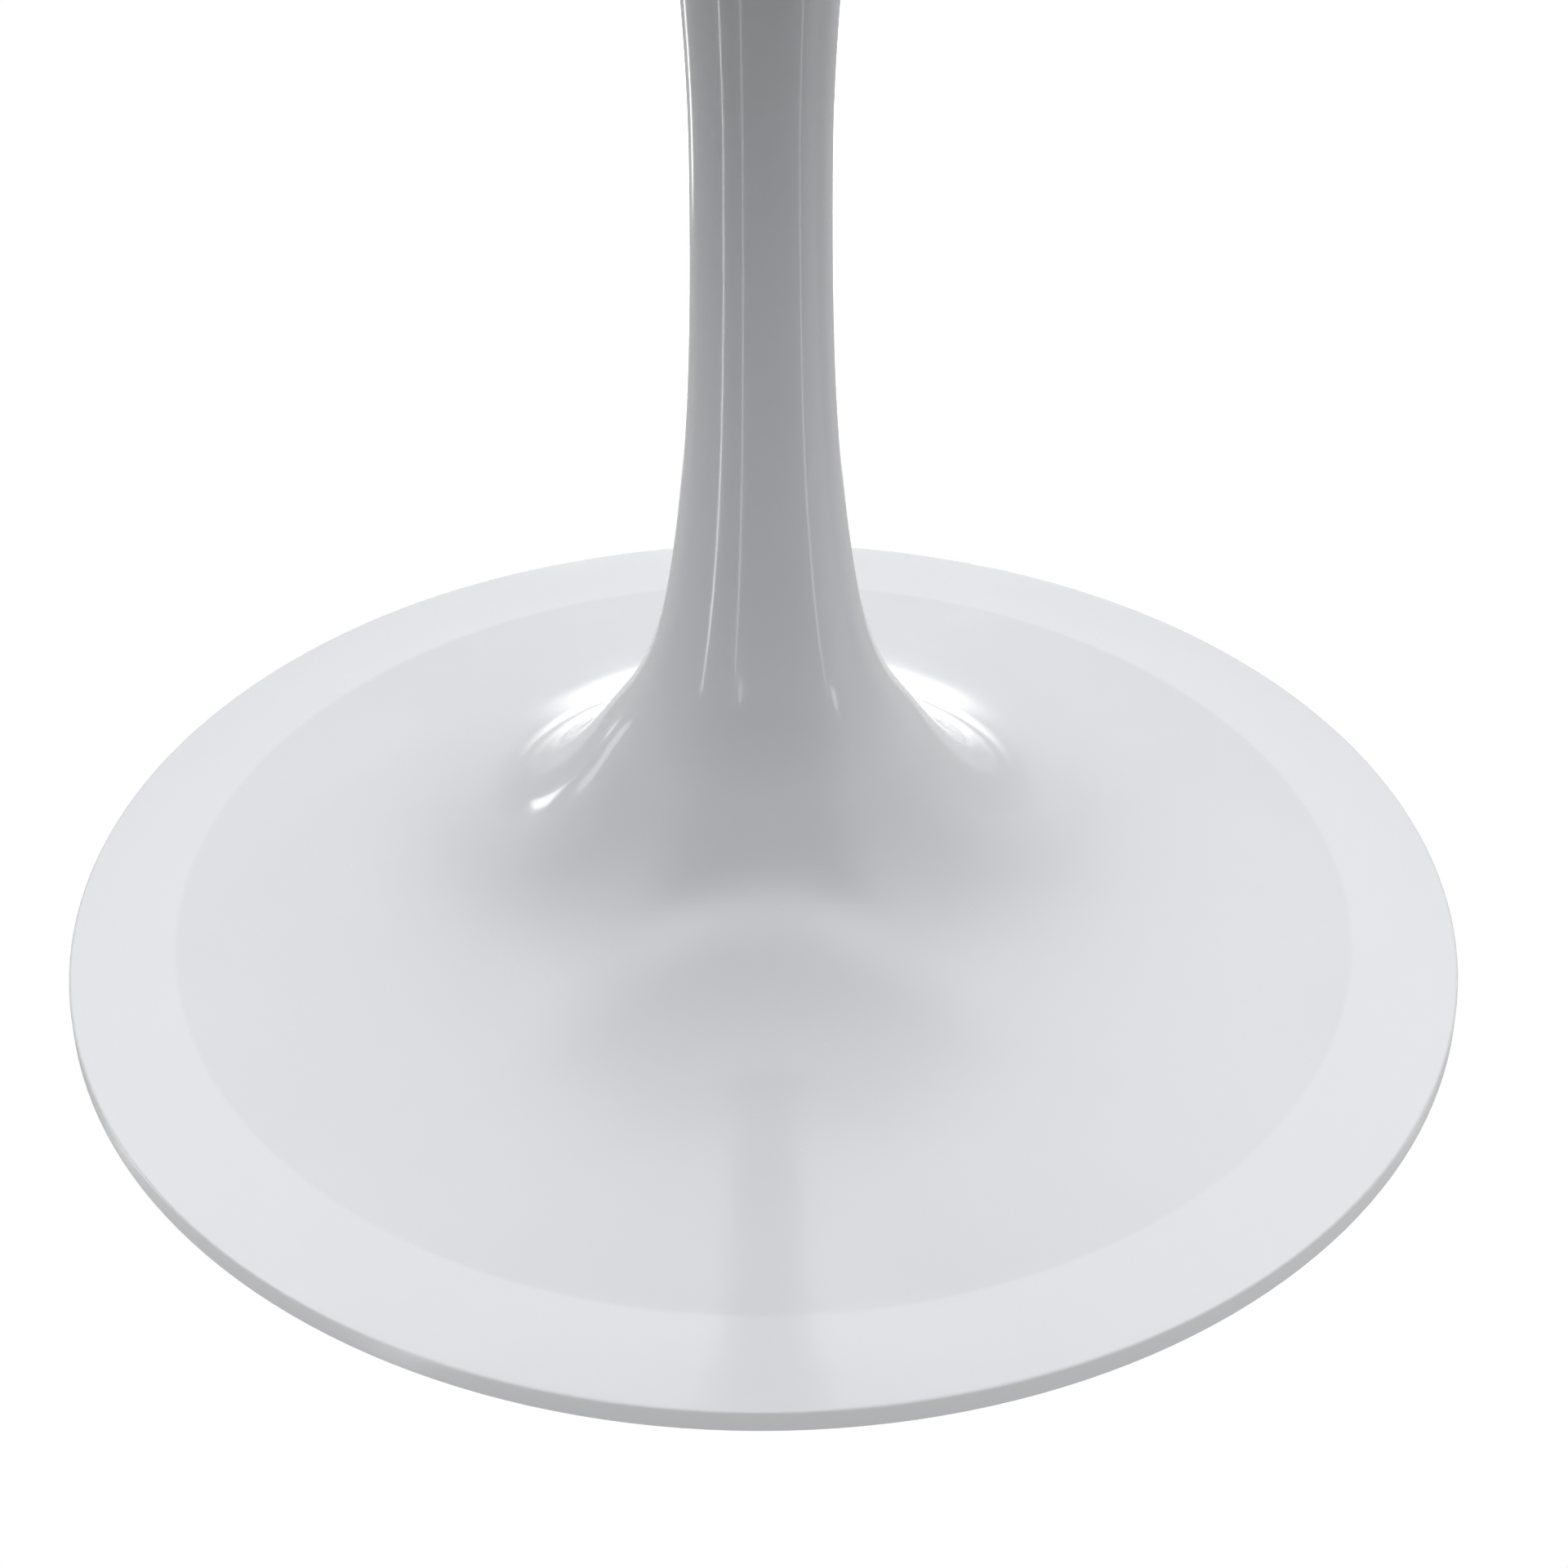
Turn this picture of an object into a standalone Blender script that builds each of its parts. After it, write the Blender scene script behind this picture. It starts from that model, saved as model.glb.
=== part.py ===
"""Round pedestal table: a lacquered top on a one-piece cast trumpet pedestal.

The frame is in metres, +Z up. The origin is on the pedestal's axis, at floor level.
Every sub-part is its own object, and the faces of neighbours keep a gap of GAP.
"""

import math

import bmesh
import bpy
from mathutils import Matrix, Vector

GAP = 0.0003
MERGE = 0.00001
CUT_OVERRUN = 0.0020
SHARP_EDGE = math.radians(35.0)

# Overall sizes
TABLE_HEIGHT = 0.730
TOP_RADIUS = 0.450
BASE_RADIUS = 0.250

# Tabletop: a flat disc whose underside is bevelled towards a thin lip
TOP_THICKNESS = 0.025
TOP_LIP = 0.008
TOP_BEVEL_WIDTH = 0.050
TOP_EDGE_ROUND = 0.0015

# Mounting plate between the pedestal and the top
PLATE_RADIUS = 0.145
PLATE_THICKNESS = 0.0047
WOOD_SCREW_COUNT = 8
WOOD_SCREW_CIRCLE = 0.125
WOOD_SCREW_RADIUS = 0.0022
WOOD_SCREW_LENGTH = 0.0180
WOOD_SCREW_HEAD_RADIUS = 0.0044
WOOD_SCREW_HEAD_HEIGHT = 0.0026
WOOD_SCREW_CROWN_SHARE = 0.70
WOOD_SCREW_SIDE_SHARE = 0.50
FLANGE_SCREW_COUNT = 4
FLANGE_SCREW_CIRCLE = 0.055
FLANGE_SCREW_HEAD_RADIUS = 0.0084
FLANGE_SCREW_HEAD_HEIGHT = 0.0044
FLANGE_SCREW_LENGTH = 0.0170
SOCKET_RADIUS = 0.0029
SOCKET_DEPTH = 0.0024

# Pedestal: heights above the rim's top edge and radii of the turned outline
RIM_CLEARANCE = 0.0012
RIM_THICKNESS = 0.0083
RIM_FACE_WIDTH = 0.0060
BAND_RADIUS = 0.2118
BAND_HEIGHT = 0.0044
BAND_SLOPE = math.radians(10.5)
BAND_HANDLE = 0.0825
FLARE_RADIUS = 0.0581
FLARE_HEIGHT = 0.0804
FLARE_SLOPE = math.radians(57.3)
FLARE_LOWER_HANDLE = 0.0752
FLARE_UPPER_HANDLE = 0.0295
NECK_RADIUS = 0.0231
NECK_HEIGHT = 0.3065
NECK_LOWER_HANDLE = 0.1875
NECK_UPPER_HANDLE = 0.1100
CROWN_RADIUS = 0.0800
CROWN_HANDLE_DROP = 0.0750
CROWN_HANDLE_INSET = 0.0250
WALL = 0.0048
FLANGE_THICKNESS = 0.0150
FLANGE_BORE_RADIUS = 0.0300
FLANGE_ROOT_INSET = 0.0101
PEDESTAL_SEGMENTS = 40
CROWN_STEPS = 8
NECK_STEPS = 7
SKIRT_STEPS = 8

# Ballast weight bolted up into the hollow of the base
BALLAST_RADIUS = 0.1450
BALLAST_BORE_RADIUS = 0.0300
BALLAST_UNDERSIDE = 0.0090
BALLAST_THICKNESS = 0.0100
BALLAST_HUB_RADIUS = 0.0820
BALLAST_HUB_HEIGHT = 0.0180
BALLAST_HUB_DRAFT = 0.0040
BALLAST_BOLT_COUNT = 4
BALLAST_BOLT_CIRCLE = 0.1150
BALLAST_BOSS_RADIUS = 0.0115
BALLAST_BOSS_BORE_DEPTH = 0.0085
WASHER_RADIUS = 0.0080
WASHER_THICKNESS = 0.0013
BOLT_HEAD_ACROSS_FLATS = 0.0130
BOLT_HEAD_HEIGHT = 0.0050
BOLT_LENGTH = 0.0195

# Thread sizes, M8
THREAD_RADIUS = 0.0040
THREAD_CLEARANCE_RADIUS = 0.0044

# Levelling glides: a nylon pad that holds the head of a threaded stud
GLIDE_COUNT = 4
GLIDE_CIRCLE = 0.1850
GLIDE_START_ANGLE = math.radians(45.0)
PAD_RADIUS = 0.0130
PAD_SHOULDER_RADIUS = 0.0088
PAD_SIDE_HEIGHT = 0.0024
PAD_HEIGHT = 0.0046
PAD_CHAMFER = 0.0005
PAD_POCKET_RADIUS = 0.0072
PAD_POCKET_FLOOR = 0.0014
PAD_POCKET_ROOF = 0.0036
PAD_LIP_RADIUS = 0.0050
STUD_HEAD_RADIUS = 0.0068
STUD_HEX_ACROSS_FLATS = 0.0100
STUD_HEX_BOTTOM = 0.0049
STUD_HEX_TOP = 0.0062
STUD_TOP = 0.0158
INSERT_BOTTOM = 0.0065
INSERT_COLLAR_RADIUS = 0.0085
INSERT_COLLAR_HEIGHT = 0.0012
INSERT_RADIUS = 0.0060
INSERT_TOP = 0.0159
GLIDE_BOSS_RADIUS = 0.0105

# Facets
PLATE_SEGMENTS = 48
ROUND_SEGMENTS = 16
SMALL_SEGMENTS = 12
TINY_SEGMENTS = 8

# Heights above the floor that follow from the sizes
RIM_TOP = RIM_CLEARANCE + RIM_THICKNESS
TOP_UNDERSIDE = TABLE_HEIGHT - TOP_THICKNESS
PLATE_TOP = TOP_UNDERSIDE - GAP
PLATE_BOTTOM = PLATE_TOP - PLATE_THICKNESS
PEDESTAL_TOP = PLATE_BOTTOM - GAP


def clear_scene():
    """Remove every object that the scene starts with."""
    for old in list(bpy.data.objects):
        bpy.data.objects.remove(old, do_unlink=True)


def finish(name, colour, roughness, metallic=0.0):
    """A plain Principled material with the sub-part's colour, roughness and metallic value."""
    material = bpy.data.materials.new(name)
    material.use_nodes = True
    shader = material.node_tree.nodes["Principled BSDF"]
    shader.inputs["Base Color"].default_value = (*colour, 1.0)
    shader.inputs["Roughness"].default_value = roughness
    shader.inputs["Metallic"].default_value = metallic
    material.diffuse_color = (*colour, 1.0)
    return material


def bezier(start, start_handle, end_handle, end, steps):
    """Points of a cubic curve in the (radius, height) plane, both ends included."""
    points = []
    for index in range(steps + 1):
        t = index / steps
        s = 1.0 - t
        weights = (s**3, 3 * s * s * t, 3 * s * t * t, t**3)
        corners = (start, start_handle, end_handle, end)
        radius = sum(w * c[0] for w, c in zip(weights, corners))
        height = sum(w * c[1] for w, c in zip(weights, corners))
        points.append((radius, height))
    return points


def new_object(name, mesh, material):
    """Link a mesh into the scene as a named object, smooth except at its sharp edges."""
    mesh.shade_smooth()
    mesh.set_sharp_from_angle(angle=SHARP_EDGE)
    obj = bpy.data.objects.new(name, mesh)
    mesh.materials.clear()
    mesh.materials.append(material)
    bpy.context.scene.collection.objects.link(obj)
    return obj


def turned_mesh(name, outline, segments, closed):
    """Spin an outline of (radius, height) points about Z. A closed outline makes a ring."""
    shape = bmesh.new()
    verts = [shape.verts.new((radius, 0.0, height)) for radius, height in outline]
    edges = [shape.edges.new(pair) for pair in zip(verts, verts[1:])]
    if closed:
        edges.append(shape.edges.new((verts[-1], verts[0])))
    bmesh.ops.spin(
        shape,
        geom=verts + edges,
        axis=(0.0, 0.0, 1.0),
        cent=(0.0, 0.0, 0.0),
        angle=math.tau,
        steps=segments,
        use_merge=True,
    )
    bmesh.ops.remove_doubles(shape, verts=shape.verts[:], dist=MERGE)
    bmesh.ops.recalc_face_normals(shape, faces=shape.faces[:])
    mesh = bpy.data.meshes.new(name)
    shape.to_mesh(mesh)
    shape.free()
    return mesh


def turned(name, outline, segments, material, closed=False):
    """A turned object. An open outline starts and ends on the axis."""
    return new_object(name, turned_mesh(name, outline, segments, closed), material)


def drum(shape, radius, bottom, top, segments, centre=(0.0, 0.0), top_radius=None):
    """Add a closed cylinder, cone or prism standing at a centre to a bmesh."""
    height = top - bottom
    place = Matrix.Translation((centre[0], centre[1], bottom + height / 2))
    bmesh.ops.create_cone(
        shape,
        cap_ends=True,
        segments=segments,
        radius1=radius,
        radius2=radius if top_radius is None else top_radius,
        depth=height,
        matrix=place,
    )


def helper(name, shape):
    """Keep a bmesh as a hidden tool for a Boolean."""
    mesh = bpy.data.meshes.new(name)
    shape.to_mesh(mesh)
    shape.free()
    tool = bpy.data.objects.new(name, mesh)
    tool.hide_render = True
    tool.display_type = "WIRE"
    bpy.context.scene.collection.objects.link(tool)
    return tool


def boolean(target, tool, operation):
    """Cut or join a hidden tool with the EXACT solver."""
    modifier = target.modifiers.new(tool.name, "BOOLEAN")
    modifier.operation = operation
    modifier.solver = "EXACT"
    modifier.object = tool


def circle(count, radius, start=0.0):
    """Centres spaced evenly round the axis."""
    angles = [start + math.tau * index / count for index in range(count)]
    return [(radius * math.cos(angle), radius * math.sin(angle)) for angle in angles]


def hexagon_radius(across_flats):
    """Corner radius of a hexagon from its width across flats."""
    return across_flats / math.sqrt(3.0)


def pedestal_outer():
    """Outer outline of the pedestal from the crown down to the rim's top edge."""
    crown = (CROWN_RADIUS, PEDESTAL_TOP)
    crown_handle = (CROWN_RADIUS - CROWN_HANDLE_INSET, PEDESTAL_TOP - CROWN_HANDLE_DROP)
    neck = (NECK_RADIUS, RIM_TOP + NECK_HEIGHT)
    neck_up = (NECK_RADIUS, neck[1] + NECK_UPPER_HANDLE)
    neck_down = (NECK_RADIUS, neck[1] - NECK_LOWER_HANDLE)
    flare = (FLARE_RADIUS, RIM_TOP + FLARE_HEIGHT)
    run = (math.cos(FLARE_SLOPE), -math.sin(FLARE_SLOPE))
    flare_up = tuple(f - FLARE_UPPER_HANDLE * r for f, r in zip(flare, run))
    flare_down = tuple(f + FLARE_LOWER_HANDLE * r for f, r in zip(flare, run))
    band = (BAND_RADIUS, RIM_TOP + BAND_HEIGHT)
    band_up = (
        BAND_RADIUS - BAND_HANDLE * math.cos(BAND_SLOPE),
        band[1] + BAND_HANDLE * math.sin(BAND_SLOPE),
    )
    upper = bezier(crown, crown_handle, neck_up, neck, CROWN_STEPS)
    lower = bezier(neck, neck_down, flare_up, flare, NECK_STEPS)
    skirt = bezier(flare, flare_down, band_up, band, SKIRT_STEPS)
    return upper + lower[1:] + skirt[1:] + [(BASE_RADIUS, RIM_TOP)]


def inset(outline, depth):
    """Points of an outline moved inwards, square to it, by a wall's thickness."""
    moved = []
    for index, point in enumerate(outline):
        before = Vector(outline[max(index - 1, 0)])
        after = Vector(outline[min(index + 1, len(outline) - 1)])
        along = (after - before).normalized()
        inward = Vector((along.y, -along.x))
        moved.append(tuple(Vector(point) + inward * depth))
    return moved


def pedestal_inner():
    """Inner outline of the casting, from the flange's bore down to the rim's underside."""
    flange_bottom = PEDESTAL_TOP - FLANGE_THICKNESS
    wall = inset(pedestal_outer(), WALL)
    cavity = [p for p in wall if p[1] < flange_bottom and p[0] < BAND_RADIUS][::2]
    crown_radius = CROWN_RADIUS - FLANGE_ROOT_INSET
    lip_radius = BASE_RADIUS - RIM_FACE_WIDTH
    band_drop = (BAND_RADIUS - lip_radius) * BAND_HEIGHT / (BASE_RADIUS - BAND_RADIUS)
    lip_height = RIM_TOP + BAND_HEIGHT - WALL + band_drop
    return (
        [(FLANGE_BORE_RADIUS, PEDESTAL_TOP), (FLANGE_BORE_RADIUS, flange_bottom)]
        + [(crown_radius, flange_bottom)]
        + cavity
        + [(lip_radius, lip_height), (lip_radius, RIM_CLEARANCE)]
    )


def height_at(outline, radius):
    """Height of a falling outline at a radius, by straight lines between its points."""
    for (r0, z0), (r1, z1) in zip(outline, outline[1:]):
        if r0 <= radius <= r1:
            return z0 + (z1 - z0) * (radius - r0) / (r1 - r0)
    return outline[-1][1]


def make_tabletop(material):
    """The bevelled top with a blind pilot hole for each wood screw."""
    lip = TABLE_HEIGHT - TOP_LIP
    soften = TOP_EDGE_ROUND
    outline = [
        (0.0, TOP_UNDERSIDE),
        (TOP_RADIUS - TOP_BEVEL_WIDTH, TOP_UNDERSIDE),
        (TOP_RADIUS - soften, lip),
        (TOP_RADIUS, lip + soften),
        (TOP_RADIUS, TABLE_HEIGHT - soften),
        (TOP_RADIUS - soften, TABLE_HEIGHT),
        (0.0, TABLE_HEIGHT),
    ]
    top = turned("tabletop", outline, PLATE_SEGMENTS, material)
    pilots = bmesh.new()
    pilot_top = PLATE_BOTTOM + WOOD_SCREW_LENGTH + GAP
    for centre in circle(WOOD_SCREW_COUNT, WOOD_SCREW_CIRCLE, math.pi / WOOD_SCREW_COUNT):
        radius = WOOD_SCREW_RADIUS + GAP
        drum(pilots, radius, TOP_UNDERSIDE - TOP_LIP, pilot_top, TINY_SEGMENTS, centre)
    boolean(top, helper("pilot_hole_cutter", pilots), "DIFFERENCE")


def make_mounting_plate(material):
    """The steel disc, with screw holes at its edge and countersunk holes at its middle."""
    plate = turned(
        "mounting_plate",
        [(0.0, PLATE_BOTTOM), (PLATE_RADIUS, PLATE_BOTTOM), (PLATE_RADIUS, PLATE_TOP), (0.0, PLATE_TOP)],
        PLATE_SEGMENTS,
        material,
    )
    holes = bmesh.new()
    over = CUT_OVERRUN
    for centre in circle(WOOD_SCREW_COUNT, WOOD_SCREW_CIRCLE, math.pi / WOOD_SCREW_COUNT):
        radius = WOOD_SCREW_RADIUS + GAP
        drum(holes, radius, PLATE_BOTTOM - over, PLATE_TOP + over, TINY_SEGMENTS, centre)
    for centre in circle(FLANGE_SCREW_COUNT, FLANGE_SCREW_CIRCLE):
        sink = PLATE_TOP - FLANGE_SCREW_HEAD_HEIGHT - GAP
        growth = (FLANGE_SCREW_HEAD_RADIUS - THREAD_RADIUS) / FLANGE_SCREW_HEAD_HEIGHT
        mouth = FLANGE_SCREW_HEAD_RADIUS + GAP + growth * (over + GAP)
        outline = [
            (0.0, PLATE_BOTTOM - over),
            (THREAD_CLEARANCE_RADIUS, PLATE_BOTTOM - over),
            (THREAD_CLEARANCE_RADIUS, sink),
            (mouth, PLATE_TOP + over),
            (0.0, PLATE_TOP + over),
        ]
        cutter = turned_mesh("countersink", outline, ROUND_SEGMENTS, False)
        cutter.transform(Matrix.Translation((centre[0], centre[1], 0.0)))
        holes.from_mesh(cutter)
        bpy.data.meshes.remove(cutter)
    boolean(plate, helper("plate_hole_cutter", holes), "DIFFERENCE")


def make_wood_screws(material):
    """Pan-head screws that hold the plate under the top."""
    head_bottom = PLATE_BOTTOM - GAP - WOOD_SCREW_HEAD_HEIGHT
    head_top = PLATE_BOTTOM - GAP
    tip = PLATE_BOTTOM + WOOD_SCREW_LENGTH
    shank_end = tip - 2.0 * WOOD_SCREW_RADIUS
    outline = [
        (0.0, head_bottom),
        (WOOD_SCREW_HEAD_RADIUS * WOOD_SCREW_CROWN_SHARE, head_bottom),
        (WOOD_SCREW_HEAD_RADIUS, head_top - WOOD_SCREW_HEAD_HEIGHT * WOOD_SCREW_SIDE_SHARE),
        (WOOD_SCREW_HEAD_RADIUS, head_top),
        (WOOD_SCREW_RADIUS, head_top),
        (WOOD_SCREW_RADIUS, shank_end),
        (0.0, tip),
    ]
    mesh = turned_mesh("wood_screw", outline, TINY_SEGMENTS, False)
    centres = circle(WOOD_SCREW_COUNT, WOOD_SCREW_CIRCLE, math.pi / WOOD_SCREW_COUNT)
    for number, centre in enumerate(centres, 1):
        screw = new_object(f"wood_screw_{number}", mesh, material)
        screw.location = (centre[0], centre[1], 0.0)


def make_flange_screws(material):
    """Countersunk M8 screws that hold the plate down on the pedestal's flange."""
    head_top = PLATE_TOP - GAP
    cone_bottom = head_top - FLANGE_SCREW_HEAD_HEIGHT
    outline = [
        (0.0, head_top - FLANGE_SCREW_LENGTH),
        (THREAD_RADIUS, head_top - FLANGE_SCREW_LENGTH),
        (THREAD_RADIUS, cone_bottom),
        (FLANGE_SCREW_HEAD_RADIUS, head_top),
        (SOCKET_RADIUS, head_top),
        (SOCKET_RADIUS, head_top - SOCKET_DEPTH),
        (0.0, head_top - SOCKET_DEPTH),
    ]
    mesh = turned_mesh("flange_screw", outline, SMALL_SEGMENTS, False)
    for number, centre in enumerate(circle(FLANGE_SCREW_COUNT, FLANGE_SCREW_CIRCLE), 1):
        screw = new_object(f"flange_screw_{number}", mesh, material)
        screw.location = (centre[0], centre[1], 0.0)


def make_pedestal(material):
    """The hollow trumpet casting with its top flange and the bosses inside the base."""
    outline = pedestal_outer() + [(BASE_RADIUS, RIM_CLEARANCE)]
    outline += list(reversed(pedestal_inner()))
    pedestal = turned("pedestal", outline, PEDESTAL_SEGMENTS, material, closed=True)

    outer = pedestal_outer()
    bosses = bmesh.new()
    bores = bmesh.new()
    ballast_top = BALLAST_UNDERSIDE + BALLAST_THICKNESS
    for centre in circle(BALLAST_BOLT_COUNT, BALLAST_BOLT_CIRCLE):
        root = height_at(outer, BALLAST_BOLT_CIRCLE + BALLAST_BOSS_RADIUS) - WALL / 2
        drum(bosses, BALLAST_BOSS_RADIUS, ballast_top + GAP, root, ROUND_SEGMENTS, centre)
        bore_top = ballast_top + GAP + BALLAST_BOSS_BORE_DEPTH
        drum(bores, THREAD_CLEARANCE_RADIUS, ballast_top - GAP, bore_top, SMALL_SEGMENTS, centre)
    boss_bottom = INSERT_BOTTOM + INSERT_COLLAR_HEIGHT + GAP
    for centre in circle(GLIDE_COUNT, GLIDE_CIRCLE, GLIDE_START_ANGLE):
        root = height_at(outer, GLIDE_CIRCLE + GLIDE_BOSS_RADIUS) - WALL / 2
        drum(bosses, GLIDE_BOSS_RADIUS, boss_bottom, root, ROUND_SEGMENTS, centre)
        bore = INSERT_RADIUS + GAP
        drum(bores, bore, boss_bottom - GAP, INSERT_TOP + GAP, ROUND_SEGMENTS, centre)
    screw_end = PLATE_TOP - GAP - FLANGE_SCREW_LENGTH - GAP
    for centre in circle(FLANGE_SCREW_COUNT, FLANGE_SCREW_CIRCLE):
        drum(bores, THREAD_CLEARANCE_RADIUS, screw_end, PEDESTAL_TOP + GAP, SMALL_SEGMENTS, centre)
    boolean(pedestal, helper("boss_blank", bosses), "UNION")
    boolean(pedestal, helper("bore_cutter", bores), "DIFFERENCE")


def make_ballast(weight_finish, fastener_finish):
    """The cast-iron weight under the base, with its bolts and washers."""
    plate_top = BALLAST_UNDERSIDE + BALLAST_THICKNESS
    outline = [
        (BALLAST_BORE_RADIUS, BALLAST_UNDERSIDE),
        (BALLAST_RADIUS, BALLAST_UNDERSIDE),
        (BALLAST_RADIUS, plate_top),
        (BALLAST_HUB_RADIUS, plate_top),
        (BALLAST_HUB_RADIUS - BALLAST_HUB_DRAFT, plate_top + BALLAST_HUB_HEIGHT),
        (BALLAST_BORE_RADIUS, plate_top + BALLAST_HUB_HEIGHT),
    ]
    weight = turned("ballast_weight", outline, PEDESTAL_SEGMENTS, weight_finish, closed=True)
    holes = bmesh.new()
    centres = circle(BALLAST_BOLT_COUNT, BALLAST_BOLT_CIRCLE)
    for centre in centres:
        low = BALLAST_UNDERSIDE - CUT_OVERRUN
        high = plate_top + CUT_OVERRUN
        drum(holes, THREAD_CLEARANCE_RADIUS, low, high, SMALL_SEGMENTS, centre)
    boolean(weight, helper("ballast_hole_cutter", holes), "DIFFERENCE")

    washer_top = BALLAST_UNDERSIDE - GAP
    washer_bottom = washer_top - WASHER_THICKNESS
    ring = [
        (THREAD_CLEARANCE_RADIUS, washer_bottom),
        (WASHER_RADIUS, washer_bottom),
        (WASHER_RADIUS, washer_top),
        (THREAD_CLEARANCE_RADIUS, washer_top),
    ]
    washer_mesh = turned_mesh("washer", ring, SMALL_SEGMENTS, True)

    head_top = washer_bottom - GAP
    bolt_mesh = hex_bolt_mesh(head_top)
    for number, centre in enumerate(centres, 1):
        washer = new_object(f"ballast_washer_{number}", washer_mesh, fastener_finish)
        bolt = new_object(f"ballast_bolt_{number}", bolt_mesh, fastener_finish)
        for piece in (washer, bolt):
            piece.location = (centre[0], centre[1], 0.0)


def stacked_mesh(name, layers):
    """Loft round and six-sided rings of twelve points, given as (kind, size, height)."""
    shape = bmesh.new()
    rings = []
    for kind, size, height in layers:
        ring = []
        for index in range(SMALL_SEGMENTS):
            angle = math.tau * index / SMALL_SEGMENTS
            corner = kind == "hexagon" and index % 2 == 0
            radius = hexagon_radius(size) if corner else size / 2.0
            place = (radius * math.cos(angle), radius * math.sin(angle), height)
            ring.append(shape.verts.new(place))
        rings.append(ring)
    for lower, upper in zip(rings, rings[1:]):
        for index in range(SMALL_SEGMENTS):
            after = (index + 1) % SMALL_SEGMENTS
            shape.faces.new((lower[index], lower[after], upper[after], upper[index]))
    shape.faces.new(rings[0])
    shape.faces.new(rings[-1])
    bmesh.ops.recalc_face_normals(shape, faces=shape.faces[:])
    mesh = bpy.data.meshes.new(name)
    shape.to_mesh(mesh)
    shape.free()
    return mesh


def hex_bolt_mesh(head_top):
    """An M8 bolt pointing up, whose hexagonal head hangs below its bearing face."""
    layers = [
        ("hexagon", BOLT_HEAD_ACROSS_FLATS, head_top - BOLT_HEAD_HEIGHT),
        ("hexagon", BOLT_HEAD_ACROSS_FLATS, head_top),
        ("round", 2.0 * THREAD_RADIUS, head_top),
        ("round", 2.0 * THREAD_RADIUS, head_top + BOLT_LENGTH),
    ]
    return stacked_mesh("ballast_bolt", layers)


def glide_pad_mesh():
    """The nylon pad: a domed disc with an undercut pocket for the stud's head."""
    outline = [
        (0.0, 0.0),
        (PAD_RADIUS - PAD_CHAMFER, 0.0),
        (PAD_RADIUS, PAD_CHAMFER),
        (PAD_RADIUS, PAD_SIDE_HEIGHT),
        (PAD_SHOULDER_RADIUS, PAD_HEIGHT),
        (PAD_LIP_RADIUS, PAD_HEIGHT),
        (PAD_LIP_RADIUS, PAD_POCKET_ROOF),
        (PAD_POCKET_RADIUS, PAD_POCKET_ROOF),
        (PAD_POCKET_RADIUS, PAD_POCKET_FLOOR),
        (0.0, PAD_POCKET_FLOOR),
    ]
    return turned_mesh("glide_pad", outline, ROUND_SEGMENTS, False)


def glide_stud_mesh():
    """The M8 stud: a captive head, a hexagon for the spanner and the threaded shank."""
    head_bottom = PAD_POCKET_FLOOR + GAP
    head_top = PAD_POCKET_ROOF - GAP
    layers = [
        ("round", 2.0 * STUD_HEAD_RADIUS, head_bottom),
        ("round", 2.0 * STUD_HEAD_RADIUS, head_top),
        ("round", 2.0 * THREAD_RADIUS, head_top),
        ("round", 2.0 * THREAD_RADIUS, STUD_HEX_BOTTOM),
        ("hexagon", STUD_HEX_ACROSS_FLATS, STUD_HEX_BOTTOM),
        ("hexagon", STUD_HEX_ACROSS_FLATS, STUD_HEX_TOP),
        ("round", 2.0 * THREAD_RADIUS, STUD_HEX_TOP),
        ("round", 2.0 * THREAD_RADIUS, STUD_TOP),
    ]
    return stacked_mesh("glide_stud", layers)


def make_glides(pad_finish, fastener_finish):
    """Four levelling glides, each on an empty that stands on its screw's axis."""
    collar_top = INSERT_BOTTOM + INSERT_COLLAR_HEIGHT
    sleeve = [
        (THREAD_RADIUS + GAP, INSERT_BOTTOM),
        (INSERT_COLLAR_RADIUS, INSERT_BOTTOM),
        (INSERT_COLLAR_RADIUS, collar_top),
        (INSERT_RADIUS, collar_top),
        (INSERT_RADIUS, INSERT_TOP),
        (THREAD_RADIUS + GAP, INSERT_TOP),
    ]
    insert_mesh = turned_mesh("glide_insert", sleeve, SMALL_SEGMENTS, True)
    pad_mesh = glide_pad_mesh()
    stud_mesh = glide_stud_mesh()
    for number, centre in enumerate(circle(GLIDE_COUNT, GLIDE_CIRCLE, GLIDE_START_ANGLE), 1):
        axis = bpy.data.objects.new(f"glide_axis_{number}", None)
        axis.location = (centre[0], centre[1], 0.0)
        bpy.context.scene.collection.objects.link(axis)
        pieces = [
            new_object(f"glide_insert_{number}", insert_mesh, fastener_finish),
            new_object(f"glide_pad_{number}", pad_mesh, pad_finish),
            new_object(f"glide_stud_{number}", stud_mesh, fastener_finish),
        ]
        for piece in pieces:
            piece.parent = axis


def main():
    clear_scene()
    white_lacquer = finish("white_lacquer", (0.80, 0.81, 0.82), 0.18)
    zinc_steel = finish("zinc_steel", (0.62, 0.63, 0.64), 0.35, 1.0)
    black_steel = finish("black_powder_coat", (0.03, 0.03, 0.03), 0.55)
    cast_iron = finish("cast_iron", (0.12, 0.12, 0.13), 0.70, 0.6)
    nylon = finish("black_nylon", (0.05, 0.05, 0.05), 0.60)

    make_tabletop(white_lacquer)
    make_mounting_plate(black_steel)
    make_wood_screws(zinc_steel)
    make_flange_screws(zinc_steel)
    make_pedestal(white_lacquer)
    make_ballast(cast_iron, zinc_steel)
    make_glides(nylon, zinc_steel)


main()
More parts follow.
